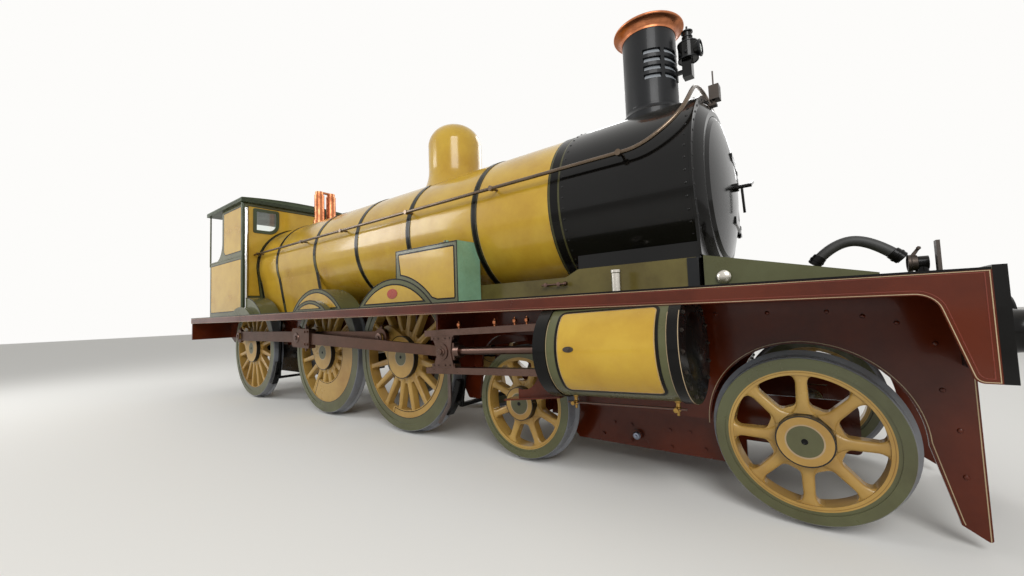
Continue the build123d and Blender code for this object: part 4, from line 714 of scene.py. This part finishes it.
# Clear pressed glass, a little green, as in the lamp and the cab's windows
clear_glass = new_finish("clear_glass", Base_Color=linear("E8F0EA"), Roughness=0.03, Transmission_Weight=1.0,
                         IOR=1.5)[0]
LAMP_X, LAMP_Z = 4598, 3430
shape = bmesh.new()
add_turned(shape, (4686, 0, LAMP_Z), (1, 0, 0),
           [(66, 0), (70, 4), (70, 16), (60, 22), (54, 16), (54, 0), (66, 0)], 40)
for z, radius in ((3362, 84), (3498, 84), (3560, 44), (3606, 48)):
    inner = radius - 8
    add_turned(shape, (LAMP_X, 0, z), (0, 0, 1),
               [(inner, -7), (radius, -5), (radius, 5), (inner, 7), (inner, -7)], 40)
for y in (-80, 80):
    add_turned(shape, (LAMP_X, y, 3400), (0, y, 0), [(0, -6), (14, -6), (14, 8), (8, 14), (0, 14)], 16)
make("lamp_rims", shape, chimney_black, slot="black_paint")
make_turned("lamp_lens", (4689, 0, LAMP_Z), (1, 0, 0),
            [(0, 0), (53, 0), (53, 3), (40, 10), (20, 15), (0, 16)], 32, clear_glass)
finish(copper, "chimney_cap")
finish(dark_steel, "lamp_irons")
finish(worn_steel("oiled_handrail_steel", "6E6052", rough=0.22, oiled=0.5), "handrails")
# Sloping louvre blades set into the chimney's slots. Their pale grey is painted light: it stands for the light
# that falls on their upward sloping faces, in a chimney that is blue-black.
louvre_painted_light = enamel("louvre_painted_light_grey", "8E9398", "B0B0B0", gloss=0.35)
CHIMNEY_X, SLOT_FOOT, SLOT_PITCH = 4266.5, 3204, 74
shape = bmesh.new()
for row in range(4):
    low = SLOT_FOOT + SLOT_PITCH * row
    for turn in (-67.5, -22.5, 22.5, 67.5):
        turns = [turn - 17 + 34 * k / 8 for k in range(9)]
        rows = []
        for radius, z in ((229, low + 3), (209, low + 36), (209, low + 41), (229, low + 8)):
            rows.append([shape.verts.new((x, y, z)) for x, y in ring((CHIMNEY_X, 0), radius, turns)])
        add_skin(shape, rows + rows[:1])
        for k in (0, 8):
            shape.faces.new([edge[k] for edge in rows])
make("chimney_louvres", shape, louvre_painted_light, slot="black_paint")
# Snap-headed rivets round both edges of the smokebox and its front, at a pitch of about 90 mm
SMOKEBOX_RADIUS, FRONT_ROW = 755, 722
shape = bmesh.new()
for x in (3726, 4694):
    for y, z in ring((0, 0), 1, [k * 360 / 52 for k in range(52)]):
        if z > -0.72:
            add_bolt(shape, (x, SMOKEBOX_RADIUS * y, BOILER_Z + SMOKEBOX_RADIUS * z), (0, y, z), 9, 5, 10)
for y, z in ring((0, 0), 1, [k * 360 / 44 for k in range(44)]):
    if z > -0.6:
        add_bolt(shape, (4740, FRONT_ROW * y, BOILER_Z + FRONT_ROW * z), (1, 0, 0), 9, 5, 10)
make("smokebox_rivets", shape, gloss_black, slot="black_paint")

# Small fittings on the platform beside the smokebox: a turned steel cup, a lever with its knob, a
# black corner strip at the front of the frame top, and a pale cap on the lug of the casing.
pale_steel = worn_steel("pale_turned_steel", "C9C4BA", rough=0.22, oiled=0.15)
CUP = [(0, 0), (48, 0), (48, 10), (36, 16), (36, 150), (40, 156), (40, 176), (28, 176), (26, 150), (0, 150)]
LEVER = [(0, 0), (9, 0), (9, 214), (17, 222), (20, 236), (17, 250), (0, 256)]
LEVER_PIN = [(0, 0), (12, 0), (12, 34), (18, 38), (18, 52), (0, 54)]
LUG_CAP = [(0, 0), (45, 0), (45, 8), (36, 17), (18, 22), (0, 23)]
for side, sign in SIDES:
    make_turned(f"platform_cup_{side}", (4180, sign * 800, PLATFORM_TOP), (0, 0, 1), CUP, 32, pale_steel,
                slot="steel")
    shape = bmesh.new()
    add_turned(shape, (3430, sign * 660, 1470), (1, 0, 0), LEVER, 16)
    for x in (3470, 3600):
        add_turned(shape, (x, sign * 616, 1470), (0, sign, 0), LEVER_PIN, 16)
    make(f"platform_lever_{side}", shape, bright_steel, slot="steel")
    shape = bmesh.new()
    add_box(shape, 4640, 4717, sign * FRAME_FACE, sign * (FRAME_FACE + 10), 1356, 1582)
    make(f"corner_strip_{side}", shape, chimney_black, slot="black_paint", edge=2)
    make_turned(f"casing_lug_cap_{side}", (4866, sign * 613, 1432), (0, sign, 0), LUG_CAP, 32, pale_steel,
                slot="steel")

# Bogie: plate side frames bolted to castings. Its bolt heads and the steel ends of its pivot show,
# and the deep middle of each side plate is carried on behind the wheels.
BOGIE_FACE, PIVOT_X = 500, 4266.5
shape, caps = bmesh.new(), bmesh.new()
for _, sign in SIDES:
    for x, z in ((4414, 322), (4556, 325), (4420, 200), (4655, 220), (4119, 322), (3977, 325), (4113, 200),
                 (3878, 220), (3060, 590), (3492, 590), (3620, 590), (4913, 590), (5041, 590), (5473, 590)):
        add_bolt(shape, (x, sign * BOGIE_FACE, z), (0, sign, 0), 14, 14)
    add_turned(caps, (4171.5, sign * 534, 256), (0, sign, 0),
               [(0, 0), (30, 0), (30, 12), (22, 22), (12, 24), (10, 34), (0, 34)], 24)
for _, sign in SIDES:
    for end in (-1, 1):
        plate = ((428, 332), (650, 332), (650, 200), (615, 161), (428, 161))
        plate = [(PIVOT_X + end * u, sign * (BOGIE_FACE + 1), z) for u, z in plate]
        add_prism(shape, plate, (0, -sign * 25, 0))
make("bogie_bolts", shape, brown_enamel, body="bogie", slot="frame_paint")
blue_steel = worn_steel("blue_grey_steel", "8E94A4", rough=0.3, oiled=0.2)
make("bogie_pivot_ends", caps, blue_steel, body="bogie", slot="steel")

# Brakes: a cast iron block before the leading and the trailing wheels, on a forged hanger, with a
# beam across. They are fixed clear of the treads, and their rigging doesn't move.
for name, top in (("leading", 696), ("trailing", 1240)):
    shape = bmesh.new()
    axle = AXLES[name]
    x, z = ring(axle, 905, [-28])[0]
    hanger = [(x - 42, z - 30), (x + 32, z - 30), (x + 32, z + 30), (axle[0] + 882, top), (axle[0] + 848, top),
              (x - 42, z + 30)]
    for _, sign in SIDES:
        block = ring(axle, 812, range(-42, -13, 2), sign * 722)
        block += ring(axle, 872, range(-14, -41, -2), sign * 722)
        add_prism(shape, block, (0, sign * 78, 0))
        add_prism(shape, [(u, sign * 728, v) for u, v in hanger], (0, sign * 26, 0))
        add_bolt(shape, (x, sign * 753, z), (0, sign, 0), 22, 20)
    add_box(shape, x - 14, x + 30, -760, 760, z - 40, z - 4)
    make(f"{name}_brake", shape, black_enamel, slot="black_paint", edge=3)

# Splashers and sand boxes: folded sheet steel, painted olive with ochre panels inside a black
# line. The pale green on the sand boxes' fronts is painted light, for the cold light from ahead
# that falls on their olive paint, and the leading splashers carry a plain red disc.
finish(enamel("splasher_enamel", "585A3A", shine=0.25), "splashers")
finish(enamel("sand_box_enamel", OLIVE, "B8B09A", front="8AB69A"), "sand_boxes")
SPLASHER_FACE, SMALL_FACE = 950, 1030


def add_panel(name, corners, y, sign):
    """An ochre panel with a black line round it on an upright side sheet."""
    outline = [(x, y, z) for x, z in rounded(corners)]
    shape = bmesh.new()
    add_prism(shape, outline, (0, sign * 1.0, 0))
    make(f"{name}_panel", shape, ochre_enamel, slot="yellow_paint")
    shape = bmesh.new()
    add_strip(shape, outline, (0, sign, 0), 15, 1.6, closed=True)
    make(f"{name}_line", shape, black_enamel, slot="black_paint")


def segment(x, radius, base):
    """An arc about the axle over a level foot, as (x, z, 0) corners."""
    first = math.degrees(math.asin((base - COUPLED_Z) / radius))
    turns = [first + (180 - 2 * first) * k / 28 for k in range(29)]
    return [(u, v, 0) for u, v in ring((x, COUPLED_Z), radius, turns)]


SPLASHER_EDGES = ((1676, 849, SPLASHER_FACE), (0, 849, SPLASHER_FACE), (0, 695, SMALL_FACE),
                  (-2362, 849, SPLASHER_FACE))
for side, sign in SIDES:
    add_panel(f"leading_splasher_{side}", segment(1676, 792, 1392), sign * SPLASHER_FACE, sign)
    add_panel(f"main_splasher_{side}", segment(0, 802, 1385), sign * SPLASHER_FACE, sign)
    add_panel(f"main_small_splasher_{side}", segment(0, 655, 1385), sign * SMALL_FACE, sign)
    # The sand box's panel is cut out round the splasher
    arc = [(x, z, 0) for x, z in ring(AXLES["leading"], 895, range(84, 35, -4)) if x > 1800 and z > 1398]
    corners = [(1796, 1900, 12)] + arc + [(2400, 1400, 0), (2640, 1400, 14), (2640, 1900, 14)]
    add_panel(f"sand_box_{side}", corners, sign * SPLASHER_FACE, sign)
    shape = bmesh.new()
    for x, radius, face in SPLASHER_EDGES:
        edge_line = [(u, sign * face, v) for u, v, _ in segment(x, radius, 1360)]
        add_strip(shape, edge_line, (0, sign, 0), 13, 1.6)
    box_edge = ((1756, 1640), (1756, 1939), (2679, 1939), (2679, 1362))
    add_strip(shape, [(x, sign * SPLASHER_FACE, z) for x, z in box_edge], (0, sign, 0), 10, 1.6)
    make(f"splasher_edge_lines_{side}", shape, black_enamel, slot="black_paint")
    shape = bmesh.new()
    turns = [2 * math.pi * k / 40 for k in range(40)]
    oval = [(1680 + 90 * math.cos(a), sign * (SPLASHER_FACE + 1), 1492 + 54 * math.sin(a)) for a in turns]
    add_prism(shape, oval, (0, sign * 4, 0))
    disc_red = enamel(f"plain_oval_enamel_{side}", "A23A22", gloss=0.25)
    make(f"plain_oval_{side}", shape, disc_red, slot="frame_paint", edge=1.5)


# Cab: sheet steel with beaded edges, painted ochre in olive borders, with a boarded and painted
# roof, round-cornered windows in green frames and a polished handrail up each front corner.
def timber(name, colour, dark):
    """Oiled floor boards: dull wood with long dark grain."""
    material, tree, skin = new_finish(name, Roughness=0.65)
    place = add_node(tree, "ShaderNodeTexCoord").outputs["Object"]
    # Grain lines of 3 mm that run along the engine
    stretch = add_node(tree, "ShaderNodeMapping", {"Vector": place, "Scale": (2, 330, 50)})
    grain = noise(tree, stretch.outputs[0], 1, 5)
    dress(tree, skin, mixed(tree, grain, linear(colour), linear(dark)), grain, 0.3, 0.001)
    return material


roof_green = enamel("cab_roof_enamel", "3F4A33", "A8A090", gloss=0.3, shine=0.25)
polished_rail = worn_steel("polished_steel_rail", "C8C8C6", rough=0.12, oiled=0.1)
finish(olive_enamel, "cab_front", "cab_sides")
finish(roof_green, "cab_roof")
finish(black_enamel, "backhead_fittings")
finish(timber("oiled_pine_boards", "8A6A48", "4A3524"), "cab_floor")
CAB_FRONT, CAB_SIDE, ROOF_EDGE = -2400, 970, 1020
ROOF_BEADS = (3311, 3331, 3351)
RAIL_BRACKET = [(0, -25), (16, -19), (25, 0), (14, 16), (10, 56), (0, 56)]
pane = rounded([(420, 3200, 20), (790, 3200, 20), (790, 2820, 20), (420, 2820, 160)])
for side, sign in SIDES:
    window = [(sign * y, z) for y, z in (pane[::-1] if sign > 0 else pane)]
    shape = bmesh.new()
    add_strip(shape, [(CAB_FRONT, y, z) for y, z in window], (1, 0, 0), 52, 18, closed=True)
    make(f"window_frame_{side}", shape, roof_green, slot="olive_paint", edge=4)
    shape = bmesh.new()
    add_prism(shape, [(CAB_FRONT - 6, y, z) for y, z in window], (5, 0, 0))
    make(f"window_glass_{side}", shape, clear_glass)
    # Side panels below and above the waist, and the bead along the waist
    lower = [(-3960, 1440, 14), (-2490, 1440, 14), (-2490, 2330, 14), (-3960, 2330, 14)]
    upper = [(-3300, 2470, 120), (-2490, 2470, 14), (-2490, 3240, 14), (-3300, 3240, 14)]
    add_panel(f"cab_side_{side}", lower, sign * CAB_SIDE, sign)
    add_panel(f"cab_upper_{side}", upper, sign * CAB_SIDE, sign)
    shape = bmesh.new()
    add_strip(shape, [(-4018, sign * CAB_SIDE, 2390), (-2405, sign * CAB_SIDE, 2390)], (0, sign, 0), 20, 7)
    make(f"cab_waist_bead_{side}", shape, olive_enamel, slot="olive_paint", edge=2)
    # Round corner post, and the thick polished handrail that stands before it
    make_turned(f"cab_corner_post_{side}", (-2404, sign * 975, 1356), (0, 0, 1),
                [(0, 0), (23, 0), (23, 1942), (0, 1942)], 24, roof_green, slot="olive_paint")
    shape = bmesh.new()
    rail_x, rail_y = -2346, sign * 938
    add_turned(shape, (rail_x, rail_y, 1420), (0, 0, 1), [(0, 0), (20, 0), (20, 1780), (0, 1780)], 20)
    for z in (1440, 2390, 3180):
        add_turned(shape, (rail_x, rail_y, z), (-1, 0, 0), RAIL_BRACKET, 16)
    make(f"cab_corner_rail_{side}", shape, polished_rail, slot="steel")
    shape = bmesh.new()
    for z in ROOF_BEADS:
        add_strip(shape, [(-4048, sign * ROOF_EDGE, z), (-2332, sign * ROOF_EDGE, z)], (0, sign, 0), 10, 5)
    make(f"roof_beads_{side}", shape, roof_green, slot="olive_paint", edge=2)
# Ochre panel across the cab front, cut out over the boiler, with a window hole on each side
over_boiler = ring((0, BOILER_Z), 760, range(0, 181, 6))
outline = [(-895, 1690), (-895, 3250), (895, 3250), (895, 1690), (705, 1690)] + over_boiler + [(-705, 1690)]
hole = rounded([(392, 3228, 30), (818, 3228, 30), (818, 2792, 30), (392, 2792, 170)])
shape = bmesh.new()
loop_edges = []
for loop in (outline, [(-y, z) for y, z in hole], hole):
    verts = [shape.verts.new((CAB_FRONT + 1, y, z)) for y, z in loop]
    loop_edges += [shape.edges.new(pair) for pair in zip(verts, verts[1:] + verts[:1])]
bmesh.ops.triangle_fill(shape, use_beauty=True, edges=loop_edges)
make("cab_front_panel", shape, ochre_enamel, slot="yellow_paint")
shape = bmesh.new()
add_strip(shape, [(CAB_FRONT + 0.5, y, z) for y, z in outline], (1, 0, 0), 11, 1.8, closed=True)
for z in ROOF_BEADS:
    add_strip(shape, [(-2330, -1016, z), (-2330, 1016, z)], (1, 0, 0), 6, 2)
make("cab_front_line", shape, black_enamel, slot="black_paint")
# Ribs across the roof, and the bead along its front edge
shape = bmesh.new()
roof_arch = [(y, 3370.5 + 60 * (1 - (y / ROOF_EDGE) ** 2)) for y in range(-1015, 1016, 70)]
for x in (-2360, -2900, -3460, -4020):
    add_strip(shape, [(x, y, z) for y, z in roof_arch], (0, 0, 1), 34, 5)
add_strip(shape, [(-2330, y, z - 7) for y, z in roof_arch], (1, 0, 0), 14, 8)
make("cab_roof_front_bead", shape, roof_green, slot="olive_paint", edge=2)


# Front end: the sloping casing over the frames, vacuum standpipe and its reinforced rubber hose,
# sprung buffers and the forged draw hook.
def ribbed_rubber(name):
    """Black rubber hose moulded over cloth: matt, with a fine weave and grey bloom."""
    material, tree, skin = new_finish(name, Roughness=0.55)
    place = add_node(tree, "ShaderNodeTexCoord").outputs["Object"]
    bloom = noise(tree, place, 14, 5)
    # Weave of about 1 mm, drawn at 3 mm
    weave = noise(tree, place, 300, 2)
    dress(tree, skin, mixed(tree, bloom, linear("151513"), linear("3A3A38")), weave, 0.2, 0.001)
    return material


finish(olive_enamel, "front_casing")
finish(black_enamel, "buffers", "standpipe")
finish(dark_steel, "draw_hook")
# The hose rises from its pipe on the casing and bows over to the standpipe's coupling
route = [(5352, -300, 1483), (5450, -300, 1608), (5640, -300, 1624), (5785.5, -300, 1478)]
line = bpy.data.curves.new("vacuum_hose_tube", "CURVE")
line.dimensions = "3D"
line.bevel_depth = 0.033
line.bevel_resolution = 8
line.resolution_u = 16
line.use_fill_caps = True
spline = line.splines.new("NURBS")
spline.points.add(len(route) - 1)
for point, spot in zip(spline.points, route):
    point.co = (*at(*spot), 1)
spline.order_u = 3
spline.use_endpoint_u = True
hose = bpy.data.objects.new("vacuum_hose_tube", line)
bpy.context.collection.objects.link(hose)
line.materials.append(ribbed_rubber("reinforced_rubber"))
# A clamped cuff on each end of the hose, and the coupling head with its lever on the standpipe
CUFF = [(33.5, 4), (40, 6), (40, 24), (43, 26), (43, 38), (40, 40), (39, 62), (33.5, 66), (33.5, 4)]
for name, start, onward in (("foot", route[0], route[1]), ("head", route[3], route[2])):
    make_turned(f"hose_cuff_{name}", start, Vector(onward) - Vector(start), CUFF, 32, black_enamel,
                             slot="black_paint")
shape = bmesh.new()
add_turned(shape, (5800, -300, 1448), (1, 0, 0),
           [(39.5, 0), (50, 2), (50, 14), (46, 20), (46, 44), (39.5, 46), (39.5, 0)], 32)
lever = [(5812, 1486), (5834, 1486), (5860, 1530), (5850, 1542), (5824, 1506)]
add_prism(shape, [(x, -310, z) for x, z in lever], (0, 20, 0))
add_bolt(shape, (5853, -320, 1534), (0, -1, 0), 9, 10)
make("coupling_head", shape, dark_steel, slot="steel", edge=1.5)
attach(hose, "engine")
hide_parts("vacuum_hose")
